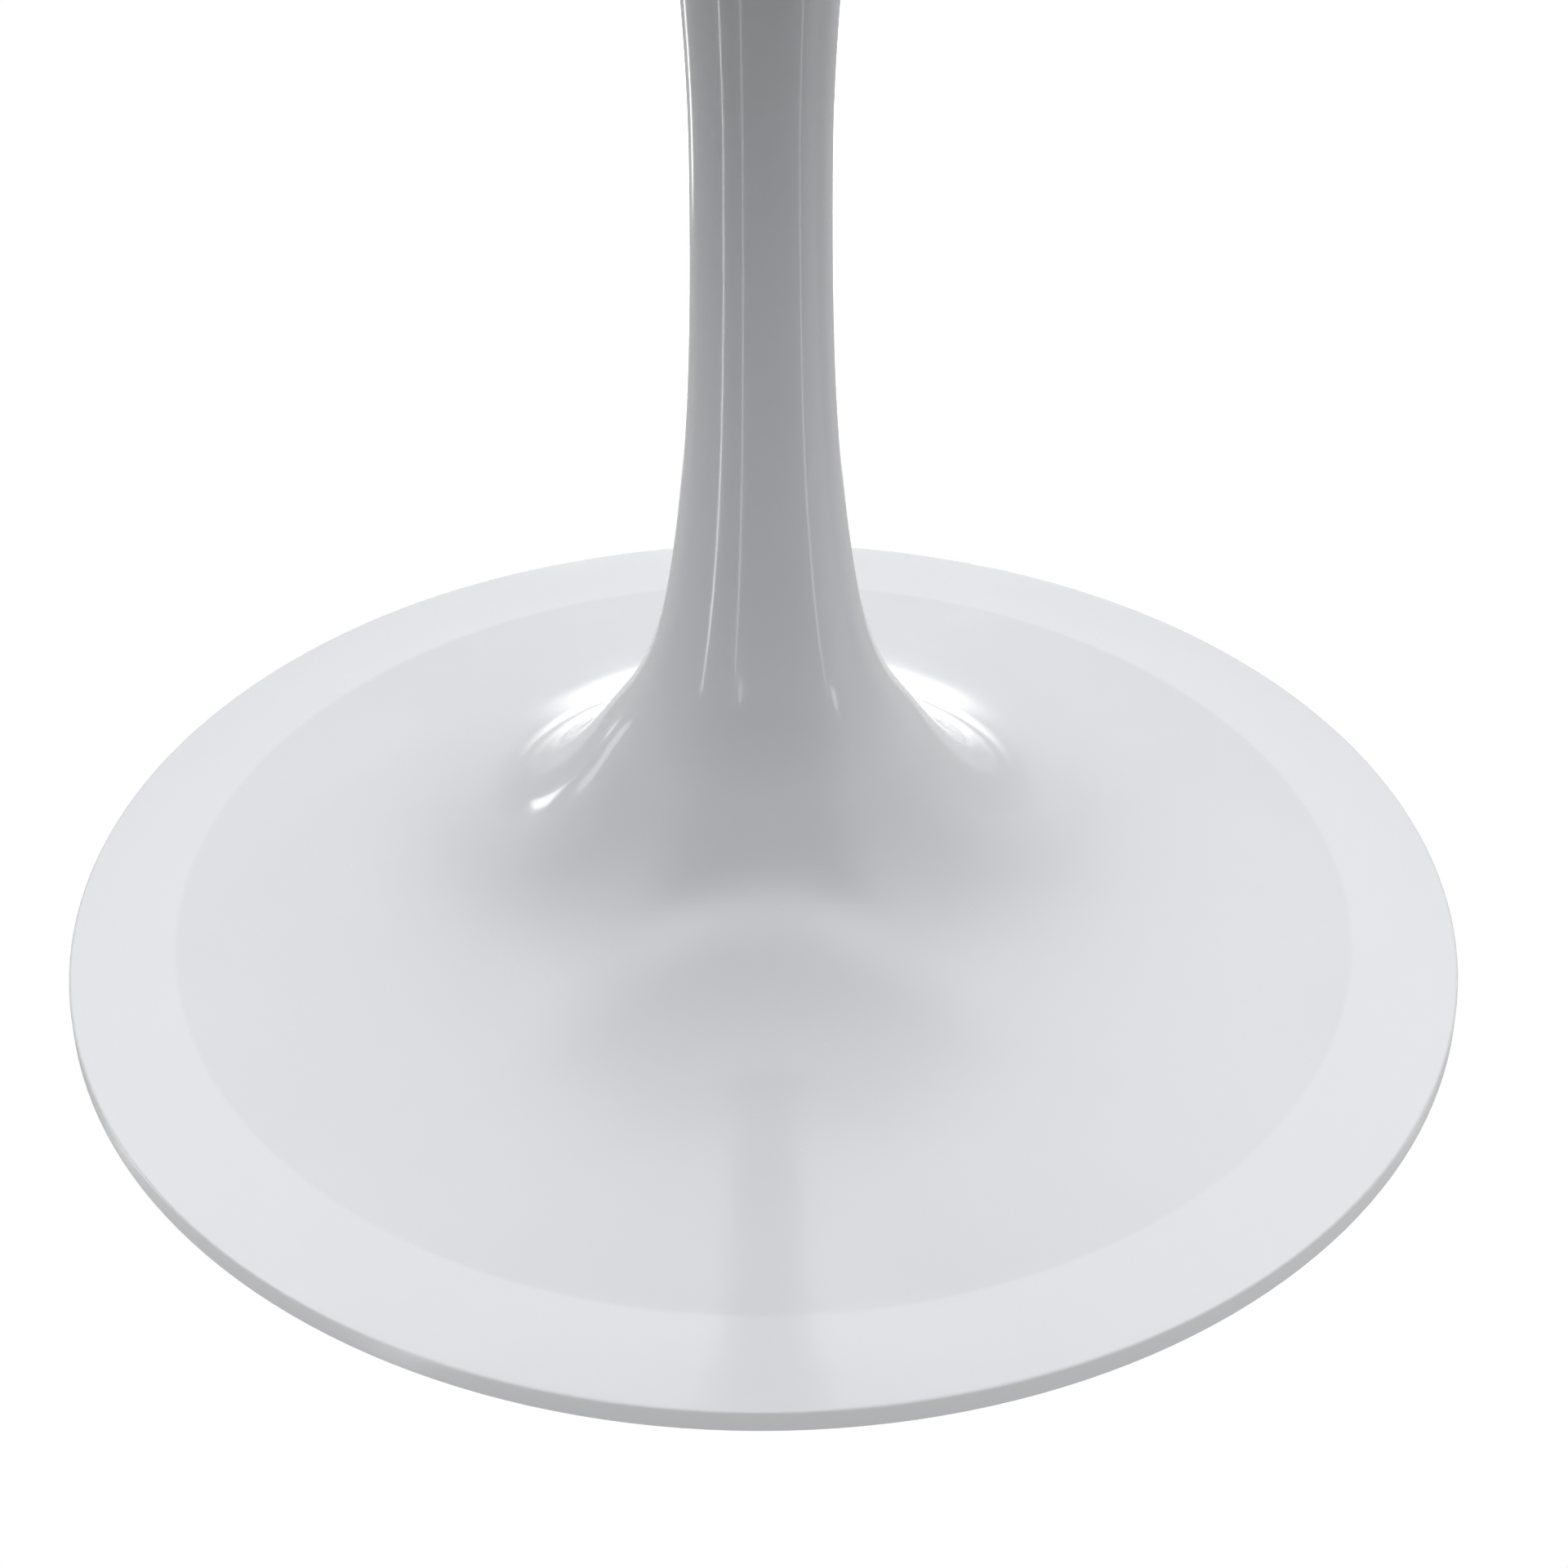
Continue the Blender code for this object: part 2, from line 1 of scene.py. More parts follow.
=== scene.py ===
"""Looks for a round pedestal table: a lacquered disc on a one-piece trumpet casting.

Lengths are in metres and places are in the model's own frame, +Z up, with the origin on the
pedestal's axis at floor level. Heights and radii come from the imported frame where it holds
them, and the outlines' other sizes are fields of the classes that turn them.
"""

import logging
import math
from dataclasses import dataclass, field
from enum import Enum
from typing import Any, Optional, Union

import bmesh
import bpy
from mathutils import Matrix, Vector


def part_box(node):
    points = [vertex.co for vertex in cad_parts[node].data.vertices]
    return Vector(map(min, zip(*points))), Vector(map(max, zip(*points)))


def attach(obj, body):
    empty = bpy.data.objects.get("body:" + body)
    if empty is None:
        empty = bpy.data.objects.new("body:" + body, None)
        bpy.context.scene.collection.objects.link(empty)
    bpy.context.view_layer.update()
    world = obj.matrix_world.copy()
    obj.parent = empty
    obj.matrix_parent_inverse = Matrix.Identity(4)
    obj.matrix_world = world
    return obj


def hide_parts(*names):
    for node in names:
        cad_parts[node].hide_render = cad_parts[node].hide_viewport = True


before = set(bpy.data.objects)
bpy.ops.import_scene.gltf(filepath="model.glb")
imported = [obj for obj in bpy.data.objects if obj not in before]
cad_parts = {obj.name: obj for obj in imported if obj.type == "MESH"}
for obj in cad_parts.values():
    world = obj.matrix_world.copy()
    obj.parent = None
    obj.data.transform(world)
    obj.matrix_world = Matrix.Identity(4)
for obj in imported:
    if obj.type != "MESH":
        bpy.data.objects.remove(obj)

LOG = logging.getLogger("pedestal_table")
TABLE_BODY = "table"
MERGE_DISTANCE = 0.00001
SHARP_ANGLE = math.radians(32.0)
MILLIMETRE = 0.001
GAP = 0.0003
BOLT_RADIUS = 0.0040
BOLT_DRILL = 0.0044
THREAD_PITCH = 0.00125
THREAD_DEPTH = 0.0006

Number = Union[int, float]
Outline = list["Station"]


class Mark(Enum):
    """What happens to an outline's point as the outline is turned."""

    PLAIN = 0
    THREAD = 1
    HEXAGON = 2


@dataclass(frozen=True)
class Station:
    """One point of a turned outline.

    Attributes:
        radius: Distance from the axis.
        height: Height above the piece's own origin.
        mark: How the turned ring through this point is shaped.
    """

    radius: float
    height: float
    mark: Mark = Mark.PLAIN


# ---------------------------------------------------------------- node trees


@dataclass(frozen=True)
class Sock:
    """An output socket whose arithmetic adds Math nodes to its tree."""

    pad: "Pad"
    socket: bpy.types.NodeSocket

    def math(self, operation: str, *others: Union["Sock", Number]) -> "Sock":
        """Add one Math node.

        Args:
            operation: The node's operation.
            others: The second and third operands.

        Returns:
            The node's result.
        """
        inputs = dict(enumerate((self, *others)))
        return self.pad.out("ShaderNodeMath", {"operation": operation}, inputs)

    def __add__(self, other: Union["Sock", Number]) -> "Sock":
        """Sum."""
        return self.math("ADD", other)

    def __radd__(self, other: Number) -> "Sock":
        """Reflected sum."""
        return self.math("ADD", other)

    def __sub__(self, other: Union["Sock", Number]) -> "Sock":
        """Difference."""
        return self.math("SUBTRACT", other)

    def __rsub__(self, other: Number) -> "Sock":
        """Reflected difference."""
        return self.pad.out("ShaderNodeMath", {"operation": "SUBTRACT"}, {0: other, 1: self})

    def __mul__(self, other: Union["Sock", Number]) -> "Sock":
        """Product."""
        return self.math("MULTIPLY", other)

    def __rmul__(self, other: Number) -> "Sock":
        """Reflected product."""
        return self.math("MULTIPLY", other)

    def __truediv__(self, other: Union["Sock", Number]) -> "Sock":
        """Quotient."""
        return self.math("DIVIDE", other)

    def __rtruediv__(self, other: Number) -> "Sock":
        """Reflected quotient."""
        return self.pad.out("ShaderNodeMath", {"operation": "DIVIDE"}, {0: other, 1: self})

    def ramp(self, low: float, high: float, start: float = 0.0, end: float = 1.0) -> "Sock":
        """Smooth step from start to end while this value goes from low to high.

        Args:
            low: Value at which the step begins.
            high: Value at which the step is over.
            start: Result up to low.
            end: Result from high on.

        Returns:
            The stepped value.
        """
        inputs = {"Value": self, "From Min": low, "From Max": high, "To Min": start, "To Max": end}
        return self.pad.out("ShaderNodeMapRange", {"interpolation_type": "SMOOTHSTEP"}, inputs)


class Pad:
    """Adds nodes to one tree, and links them by what they are given."""

    def __init__(self, tree: bpy.types.NodeTree) -> None:
        """Keep the tree that the nodes go to."""
        self.tree = tree

    def node(
        self,
        kind: str,
        settings: Optional[dict[str, Any]] = None,
        inputs: Optional[dict[Union[str, int], Any]] = None,
    ) -> bpy.types.Node:
        """Add a node, set it up, and then fill its sockets.

        Args:
            kind: The node's type name.
            settings: Properties that are set before any socket is filled.
            inputs: Values or Socks by socket name or number.

        Returns:
            The new node.
        """
        made = self.tree.nodes.new(kind)
        for name, value in (settings or {}).items():
            setattr(made, name, value)
        for name, value in (inputs or {}).items():
            socket = self._input(made, name)
            if isinstance(value, Sock):
                self.tree.links.new(value.socket, socket)
            else:
                socket.default_value = value
        return made

    def out(
        self,
        kind: str,
        settings: Optional[dict[str, Any]] = None,
        inputs: Optional[dict[Union[str, int], Any]] = None,
        result: Union[str, int] = 0,
    ) -> Sock:
        """Add a node and return one of its outputs.

        Args:
            kind: The node's type name.
            settings: As for node.
            inputs: As for node.
            result: The output's name or number among those in use.

        Returns:
            The output, ready for arithmetic.
        """
        made = self.node(kind, settings, inputs)
        used = [s for s in made.outputs if s.enabled]
        if isinstance(result, int):
            return Sock(self, used[result])
        return Sock(self, next(s for s in used if s.name == result))

    @staticmethod
    def _input(node: bpy.types.Node, name: Union[str, int]) -> bpy.types.NodeSocket:
        """Find an input of a node.

        Args:
            node: The node.
            name: Name of an input in use, or the number of any input.

        Returns:
            The input.
        """
        if isinstance(name, int):
            return node.inputs[name]
        return next(s for s in node.inputs if s.enabled and s.name == name)


# ---------------------------------------------------------------- finishes

Colour = Union[Sock, tuple[float, float, float]]


class MaterialPad(Pad):
    """A Pad on a new material that already holds a Principled shader."""

    def __init__(self, name: str) -> None:
        """Make the material, its shader and its Object coordinates."""
        self.material = bpy.data.materials.new(name)
        self.material.use_nodes = True
        super().__init__(self.material.node_tree)
        self.shader = self.tree.nodes["Principled BSDF"]
        self.place = self.out("ShaderNodeTexCoord", result="Object")

    def noise(self, scale: float, detail: float = 2.0, roughness: float = 0.5) -> Sock:
        """Solid noise on Object coordinates.

        Args:
            scale: Features per metre.
            detail: Octaves added to the first.
            roughness: Share of each octave that the next one has.

        Returns:
            The noise from 0 to 1.
        """
        inputs = {"Vector": self.place, "Scale": scale, "Detail": detail, "Roughness": roughness}
        return self.out("ShaderNodeTexNoise", {}, inputs, "Fac")

    def cells(self, scale: float) -> Sock:
        """Distance to the nearest point of a random cell pattern."""
        inputs = {"Vector": self.place, "Scale": scale}
        return self.out("ShaderNodeTexVoronoi", {}, inputs, "Distance")

    def height(self) -> Sock:
        """The height of the surface's point."""
        return self.out("ShaderNodeSeparateXYZ", {}, {0: self.place}, "Z")

    def radius(self) -> Sock:
        """The distance of the surface's point from the axis.

        Returns:
            The distance.
        """
        parts = self.node("ShaderNodeSeparateXYZ", {}, {0: self.place})
        across = Sock(self, parts.outputs["X"])
        depth = Sock(self, parts.outputs["Y"])
        return (across * across + depth * depth).math("SQRT")

    def blend(self, factor: Sock, low: Colour, high: Colour) -> Sock:
        """Mix two colours by a factor.

        Args:
            factor: 0 gives low and 1 gives high.
            low: First colour, as red, green and blue or as an output.
            high: Second colour.

        Returns:
            The mixed colour.
        """
        ends = [end if isinstance(end, Sock) else (*end, 1.0) for end in (low, high)]
        inputs = {0: factor, 6: ends[0], 7: ends[1]}
        return self.out("ShaderNodeMix", {"data_type": "RGBA"}, inputs, "Result")

    def bump(self, layers: list[tuple[Sock, float]]) -> Sock:
        """Chain Bump nodes, one for each layer.

        Args:
            layers: Pairs of a height pattern and the depth that its full range stands for.

        Returns:
            The bumped normal.
        """
        normal: Optional[Sock] = None
        for pattern, depth in layers:
            inputs: dict[Union[str, int], Any] = {"Height": pattern, "Distance": depth}
            if normal is not None:
                inputs["Normal"] = normal
            normal = self.out("ShaderNodeBump", {}, inputs, "Normal")
        assert normal is not None
        return normal

    def finish(self, constants: dict[str, Any], varied: dict[str, Sock]) -> bpy.types.Material:
        """Fill the shader's sockets.

        Args:
            constants: Values that are the same all over the surface.
            varied: What changes over it.

        Returns:
            The finished material.
        """
        for name, value in constants.items():
            self.shader.inputs[name].default_value = value
        for name, value in varied.items():
            self.tree.links.new(value.socket, self.shader.inputs[name])
        return self.material


@dataclass(frozen=True)
class GlossLacquer:
    """Sprayed white gloss lacquer with a slow wave and a fine orange peel."""

    name: str
    white: tuple[float, float, float] = (0.774, 0.782, 0.814)
    shade: tuple[float, float, float] = (0.757, 0.766, 0.801)
    roughness: float = 0.14
    haze: float = 0.05
    dust: float = 0.10
    coat: float = 0.7
    coat_roughness: float = 0.045
    ior: float = 1.5
    wave_scale: float = 16.0
    wave_depth: float = 0.00085
    peel_scale: float = 420.0
    peel_depth: float = 0.000012
    # Beyond band_radius the colour turns to a lighter white: painted light that makes the outer ring
    # brighter than the shaded field inside it.
    band_radius: float = 9.0
    band_edge: float = 0.0012
    painted_light_band_white: tuple[float, float, float] = (0.806, 0.813, 0.840)

    def material(self) -> bpy.types.Material:
        """Build the lacquer's material.

        Returns:
            The finished material.
        """
        pad = MaterialPad(self.name)
        mottle = pad.noise(9.0, 3.0).ramp(0.35, 0.65)
        smudge = pad.noise(26.0, 4.0, 0.6).ramp(0.45, 0.75)
        dust = pad.noise(900.0, 1.0).ramp(0.66, 0.74)
        sprayed = pad.blend(mottle, self.shade, self.white)
        # Painted light: outside band_radius the colour steps up to a lighter white, for the outer ring's
        # extra light.
        edge = self.band_edge
        band = pad.radius().ramp(self.band_radius - edge, self.band_radius + edge)
        colour = pad.blend(band, sprayed, self.painted_light_band_white)
        roughness = self.roughness + smudge * self.haze + dust * self.dust
        wave = pad.noise(self.wave_scale, 1.0)
        peel = pad.noise(self.peel_scale, 1.0)
        normal = pad.bump([(wave, self.wave_depth), (peel, self.peel_depth)])
        constants = {
            "IOR": self.ior,
            "Coat Weight": self.coat,
            "Coat Roughness": self.coat_roughness,
            "Coat IOR": self.ior,
        }
        varied = {"Base Color": colour, "Roughness": roughness, "Normal": normal}
        return pad.finish(constants, varied)


@dataclass(frozen=True)
class SandCasting:
    """Bare sand-cast aluminium with lacquer mist that thins away from the rim."""

    name: str
    metal: tuple[float, float, float] = (0.36, 0.37, 0.38)
    mist: tuple[float, float, float] = (0.66, 0.67, 0.68)
    mist_top: float = 0.060
    grain_scale: float = 650.0
    grain_depth: float = 0.00022
    pit_scale: float = 210.0
    pit_depth: float = 0.00030

    def material(self) -> bpy.types.Material:
        """Build the casting's material.

        Returns:
            The finished material.
        """
        pad = MaterialPad(self.name)
        patch = pad.noise(35.0, 4.0, 0.6)
        reach = pad.height().ramp(0.0, self.mist_top, 0.85, 0.0)
        mist = (reach + (patch - 0.5) * 0.6).ramp(0.15, 0.75)
        colour = pad.blend(mist, self.metal, self.mist)
        roughness = 0.48 + patch * 0.22 + mist * 0.08
        metallic = 0.75 - mist * 0.75
        grain = pad.noise(self.grain_scale, 2.0, 0.6)
        pits = pad.cells(self.pit_scale).ramp(0.0, 0.35)
        normal = pad.bump([(pits, self.pit_depth), (grain, self.grain_depth)])
        varied = {"Base Color": colour, "Roughness": roughness, "Metallic": metallic, "Normal": normal}
        return pad.finish({}, varied)


@dataclass(frozen=True)
class ZincPlate:
    """Bright zinc plating with a faint blue passivation and rubbed patches."""

    name: str
    bright: tuple[float, float, float] = (0.66, 0.67, 0.69)
    dull: tuple[float, float, float] = (0.52, 0.54, 0.57)

    def material(self) -> bpy.types.Material:
        """Build the plating's material.

        Returns:
            The finished material.
        """
        pad = MaterialPad(self.name)
        patch = pad.noise(220.0, 3.0, 0.6).ramp(0.3, 0.7)
        grain = pad.noise(2600.0, 1.0)
        colour = pad.blend(patch, self.dull, self.bright)
        roughness = 0.42 - patch * 0.14
        normal = pad.bump([(grain, 0.00002)])
        varied = {"Base Color": colour, "Roughness": roughness, "Normal": normal}
        return pad.finish({"Metallic": 1.0}, varied)


@dataclass(frozen=True)
class CoatedIron:
    """Black paint or powder coat over steel or iron, with a texture of its own."""

    name: str
    dark: tuple[float, float, float] = (0.022, 0.022, 0.023)
    light: tuple[float, float, float] = (0.050, 0.050, 0.052)
    roughness: float = 0.50
    texture_scale: float = 800.0
    texture_depth: float = 0.00010
    lump_scale: float = 60.0
    lump_depth: float = 0.0

    def material(self) -> bpy.types.Material:
        """Build the coat's material.

        Returns:
            The finished material.
        """
        pad = MaterialPad(self.name)
        patch = pad.noise(45.0, 4.0, 0.6).ramp(0.3, 0.75)
        texture = pad.noise(self.texture_scale, 2.0)
        lumps = pad.noise(self.lump_scale, 2.0)
        colour = pad.blend(patch, self.dark, self.light)
        roughness = self.roughness + patch * 0.12 - texture * 0.08
        normal = pad.bump([(lumps, self.lump_depth), (texture, self.texture_depth)])
        varied = {"Base Color": colour, "Roughness": roughness, "Normal": normal}
        return pad.finish({}, varied)


@dataclass(frozen=True)
class Nylon:
    """Moulded black nylon, scuffed where it stands on the floor."""

    name: str
    black: tuple[float, float, float] = (0.030, 0.030, 0.031)
    scuff: tuple[float, float, float] = (0.110, 0.108, 0.104)
    scuff_top: float = 0.0009

    def material(self) -> bpy.types.Material:
        """Build the nylon's material.

        Returns:
            The finished material.
        """
        pad = MaterialPad(self.name)
        scratches = pad.noise(380.0, 4.0, 0.7).ramp(0.45, 0.62)
        low = pad.height().ramp(0.0, self.scuff_top, 1.0, 0.0)
        worn = low * scratches
        grain = pad.noise(1800.0, 1.0)
        colour = pad.blend(worn, self.black, self.scuff)
        roughness = 0.46 + worn * 0.30 + grain * 0.06
        normal = pad.bump([(grain, 0.00004)])
        varied = {"Base Color": colour, "Roughness": roughness, "Normal": normal}
        return pad.finish({"IOR": 1.53}, varied)


# ---------------------------------------------------------------- outlines


def bezier(corners: tuple[tuple[float, float], ...], steps: int) -> list[tuple[float, float]]:
    """Points of a cubic curve in the (radius, height) plane.

    Args:
        corners: Start, its handle, the end's handle and the end.
        steps: Number of spans.

    Returns:
        The points, both ends included.
    """
    points = []
    for index in range(steps + 1):
        t = index / steps
        s = 1.0 - t
        weights = (s**3, 3.0 * s * s * t, 3.0 * s * t * t, t**3)
        radius = sum(w * c[0] for w, c in zip(weights, corners))
        height = sum(w * c[1] for w, c in zip(weights, corners))
        points.append((radius, height))
    return points


def plain(points: list[tuple[float, float]]) -> Outline:
    """Stations without a mark."""
    return [Station(radius, height) for radius, height in points]


def soften(corners: list[tuple[float, float, float]], steps: int = 4, closed: bool = False) -> Outline:
    """Round the corners of an outline.

    Args:
        corners: Radius, height and the length that the rounding takes from each side.
        steps: Spans in each rounding.
        closed: Whether the outline's last corner leads back to its first.

    Returns:
        The stations. A closed outline ends where it starts.
    """
    stations: Outline = []
    count = len(corners)
    for index, (radius, height, cut) in enumerate(corners):
        here = Vector((radius, height))
        inside = closed or 0 < index < count - 1
        if cut <= 0.0 or not inside:
            stations.append(Station(radius, height))
            continue
        before = Vector(corners[index - 1][:2]) - here
        after = Vector(corners[(index + 1) % count][:2]) - here
        start = here + before.normalized() * min(cut, before.length * 0.48)
        end = here + after.normalized() * min(cut, after.length * 0.48)
        for step in range(steps + 1):
            t = step / steps
            point = start * (1.0 - t) ** 2 + here * 2.0 * t * (1.0 - t) + end * t * t
            stations.append(Station(point.x, point.y))
    if closed:
        stations.append(stations[0])
    return stations


def threaded(radius: float, low: float, high: float, pitch: float, depth: float) -> Outline:
    """Stations of a threaded shank that runs upwards to a chamfered tip.

    Args:
        radius: Outer radius.
        low: Where the thread starts.
        high: The tip's height.
        pitch: Distance between the thread's crests.
        depth: The thread's depth.

    Returns:
        The stations, the tip's centre included.
    """
    spans = max(6, math.ceil((high - low) / pitch * 6.0))
    rise = (high - depth - low) / spans
    shank = [Station(radius, low + rise * index, Mark.THREAD) for index in range(spans + 1)]
    return shank + [Station(radius - depth * 1.4, high), Station(0.0, high)]


def downwards(outline: Outline, top: float) -> Outline:
    """The outline turned upside down, with its zero height moved to a given height."""
    return [Station(s.radius, top - s.height, s.mark) for s in reversed(outline)]


# ---------------------------------------------------------------- geometry nodes


class FormTree(Pad):
    """A Geometry Nodes tree with named inputs and one geometry output."""

    def __init__(self, name: str, inputs: dict[str, tuple[str, Any]]) -> None:
        """Make the tree.

        Args:
            name: The tree's name.
            inputs: Socket type and default value by input name, in order. A None
                default is left as it is.
        """
        tree = bpy.data.node_groups.new(name, "GeometryNodeTree")
        super().__init__(tree)
        face = tree.interface
        for label, (kind, default) in inputs.items():
            item = face.new_socket(name=label, in_out="INPUT", socket_type=kind)
            if default is not None:
                item.default_value = default
        face.new_socket(name="Geometry", in_out="OUTPUT", socket_type="NodeSocketGeometry")
        self._entry = self.node("NodeGroupInput")
        self._exit = self.node("NodeGroupOutput")

    def given(self, name: str) -> Sock:
        """One of the tree's own inputs."""
        return Sock(self, self._entry.outputs[name])

    def result(self, geometry: Sock) -> None:
        """Link the geometry that the tree gives back."""
        self.tree.links.new(geometry.socket, self._exit.inputs["Geometry"])

    def finished(self, geometry: Sock, material: str) -> Sock:
        """Realize the instances and set the material.

        Args:
            geometry: What the tree has made.
            material: Name of the tree's input that holds the material.

        Returns:
            The finished geometry.
        """
        real = self.out("GeometryNodeRealizeInstances", {}, {"Geometry": geometry})
        inputs = {"Geometry": real, "Material": self.given(material)}
        return self.out("GeometryNodeSetMaterial", {}, inputs)

    def run(self, host: bpy.types.Object, values: dict[str, Any]) -> bpy.types.Object:
        """Apply the tree to an object and keep the result as its plain mesh.

        Args:
            host: Object whose mesh the tree starts from.
            values: Input values by name.

        Returns:
            The same object with its new mesh and no modifier.
        """
        modifier = host.modifiers.new(self.tree.name, "NODES")
        modifier.node_group = self.tree
        for item in self.tree.interface.items_tree:
            if item.item_type == "SOCKET" and item.in_out == "INPUT" and item.name in values:
                modifier[item.identifier] = values[item.name]
        return settle(host)


def settle(host: bpy.types.Object) -> bpy.types.Object:
    """Replace an object's mesh with its evaluated one, clean it and drop its modifiers.

    Args:
        host: Object with modifiers.

    Returns:
        The same object.
    """
    bpy.context.view_layer.update()
    depsgraph = bpy.context.evaluated_depsgraph_get()
    mesh = bpy.data.meshes.new_from_object(host.evaluated_get(depsgraph))
    host.modifiers.clear()
    host.data = mesh
    shape = bmesh.new()
    shape.from_mesh(mesh)
    bmesh.ops.remove_doubles(shape, verts=shape.verts[:], dist=MERGE_DISTANCE)
    bmesh.ops.recalc_face_normals(shape, faces=shape.faces[:])
    shape.to_mesh(mesh)
    shape.free()
    mesh.shade_smooth()
    mesh.set_sharp_from_angle(angle=SHARP_ANGLE)
    mesh.name = host.name
    return host


class LatheTree(FormTree):
    """Turns an outline's points about Z, with threads and hexagons where they are marked."""

    def __init__(self) -> None:
        """Build the tree."""
        super().__init__(
            "turned_form",
            {
                "Geometry": ("NodeSocketGeometry", None),
                "Segments": ("NodeSocketInt", 96),
                "Thread Pitch": ("NodeSocketFloat", THREAD_PITCH),
                "Thread Depth": ("NodeSocketFloat", THREAD_DEPTH),
                "Inner From Row": ("NodeSocketInt", 100000),
                "Material": ("NodeSocketMaterial", None),
                "Inner Material": ("NodeSocketMaterial", None),
            },
        )
        outline = self.given("Geometry")
        segments = self.given("Segments")
        domain = {"component": "MESH"}
        rows = self.out("GeometryNodeAttributeDomainSize", domain, {"Geometry": outline}, "Point Count")
        sizes = {"Size X": 1.0, "Size Y": 1.0, "Vertices X": segments + 1, "Vertices Y": rows}
        grid = self.out("GeometryNodeMeshGrid", {}, sizes)
        index = self.out("GeometryNodeInputIndex")
        column = ((index + 0.5) / rows).math("FLOOR")
        row = (index - column * rows).math("ROUND")
        turn = column / segments

        place = self.out("GeometryNodeInputPosition")
        spot = self._sampled(outline, "FLOAT_VECTOR", place, row)
        label = {"data_type": "FLOAT"}
        stored = self.out("GeometryNodeInputNamedAttribute", label, {"Name": "mark"})
        mark = self._sampled(outline, "FLOAT", stored, row)
        parts = self.node("ShaderNodeSeparateXYZ", {}, {0: spot})
        radius = Sock(self, parts.outputs["X"])
        height = Sock(self, parts.outputs["Z"])

        crest = (height / self.given("Thread Pitch") - turn).math("PINGPONG", 0.5) * 2.0
        on_thread = mark.math("COMPARE", float(Mark.THREAD.value), 0.1)
        on_hexagon = mark.math("COMPARE", float(Mark.HEXAGON.value), 0.1)
        angle = turn * math.tau
        side = math.tau / 6.0
        local = (angle + side / 2.0).math("FLOORED_MODULO", side) - side / 2.0
        stretch = 1.0 / local.math("COSINE") - 1.0
        shaped = radius - crest * self.given("Thread Depth") * on_thread
        shaped = shaped * (1.0 + stretch * on_hexagon)
        spun = {0: shaped * angle.math("COSINE"), 1: shaped * angle.math("SINE"), 2: height}
        position = self.out("ShaderNodeCombineXYZ", {}, spun)
        moved = self.out("GeometryNodeSetPosition", {}, {"Geometry": grid, "Position": position})

        strip = rows - 1.0
        face_row = index - ((index + 0.5) / strip).math("FLOOR") * strip
        named = {"Geometry": moved, "Name": "row", "Value": face_row}
        kept = self.out("GeometryNodeStoreNamedAttribute", {"data_type": "FLOAT", "domain": "FACE"}, named)
        merge = {"Geometry": kept, "Distance": MERGE_DISTANCE}
        joined = self.out("GeometryNodeMergeByDistance", {}, merge)
        outer = self.finished(joined, "Material")
        back = self.out("GeometryNodeInputNamedAttribute", label, {"Name": "row"})
        inside = back.math("GREATER_THAN", self.given("Inner From Row") - 0.5)
        inputs = {"Geometry": outer, "Selection": inside, "Material": self.given("Inner Material")}
        self.result(self.out("GeometryNodeSetMaterial", {}, inputs))

    def _sampled(self, source: Sock, kind: str, value: Sock, index: Sock) -> Sock:
        """Read a value at one of the outline's points.

        Args:
            source: The outline's geometry.
            kind: The value's data type.
            value: The value as a field.
            index: The point's number.

        Returns:
            The value there.
        """
        settings = {"data_type": kind, "domain": "POINT"}
        inputs = {"Geometry": source, "Value": value, "Index": index}
        return self.out("GeometryNodeSampleIndex", settings, inputs)

    def turn(
        self,
        name: str,
        outline: Outline,
        material: bpy.types.Material,
        segments: int = 96,
        inner: Optional[tuple[int, bpy.types.Material]] = None,
        pitch: float = THREAD_PITCH,
        depth: float = THREAD_DEPTH,
    ) -> bpy.types.Object:
        """Turn an outline into an object.

        Args:
            name: The new object's name.
            outline: Stations from one end to the other.
            material: Finish of the whole piece.
            segments: Facets round the axis.
            inner: Row from which a second finish takes over, and that finish.
            pitch: Pitch of its threads.
            depth: Depth of its threads.

        Returns:
            The finished object, linked into the scene.
        """
        mesh = bpy.data.meshes.new(name)
        mesh.from_pydata([(s.radius, 0.0, s.height) for s in outline], [], [])
        marks = mesh.attributes.new("mark", "FLOAT", "POINT")
        marks.data.foreach_set("value", [float(s.mark.value) for s in outline])
        host = bpy.data.objects.new(name, mesh)
        bpy.context.scene.collection.objects.link(host)
        values: dict[str, Any] = {
            "Segments": segments,
            "Thread Pitch": pitch,
            "Thread Depth": depth,
            "Material": material,
        }
        if inner is not None:
            values["Inner From Row"] = inner[0]
            values["Inner Material"] = inner[1]
        return self.run(host, values)


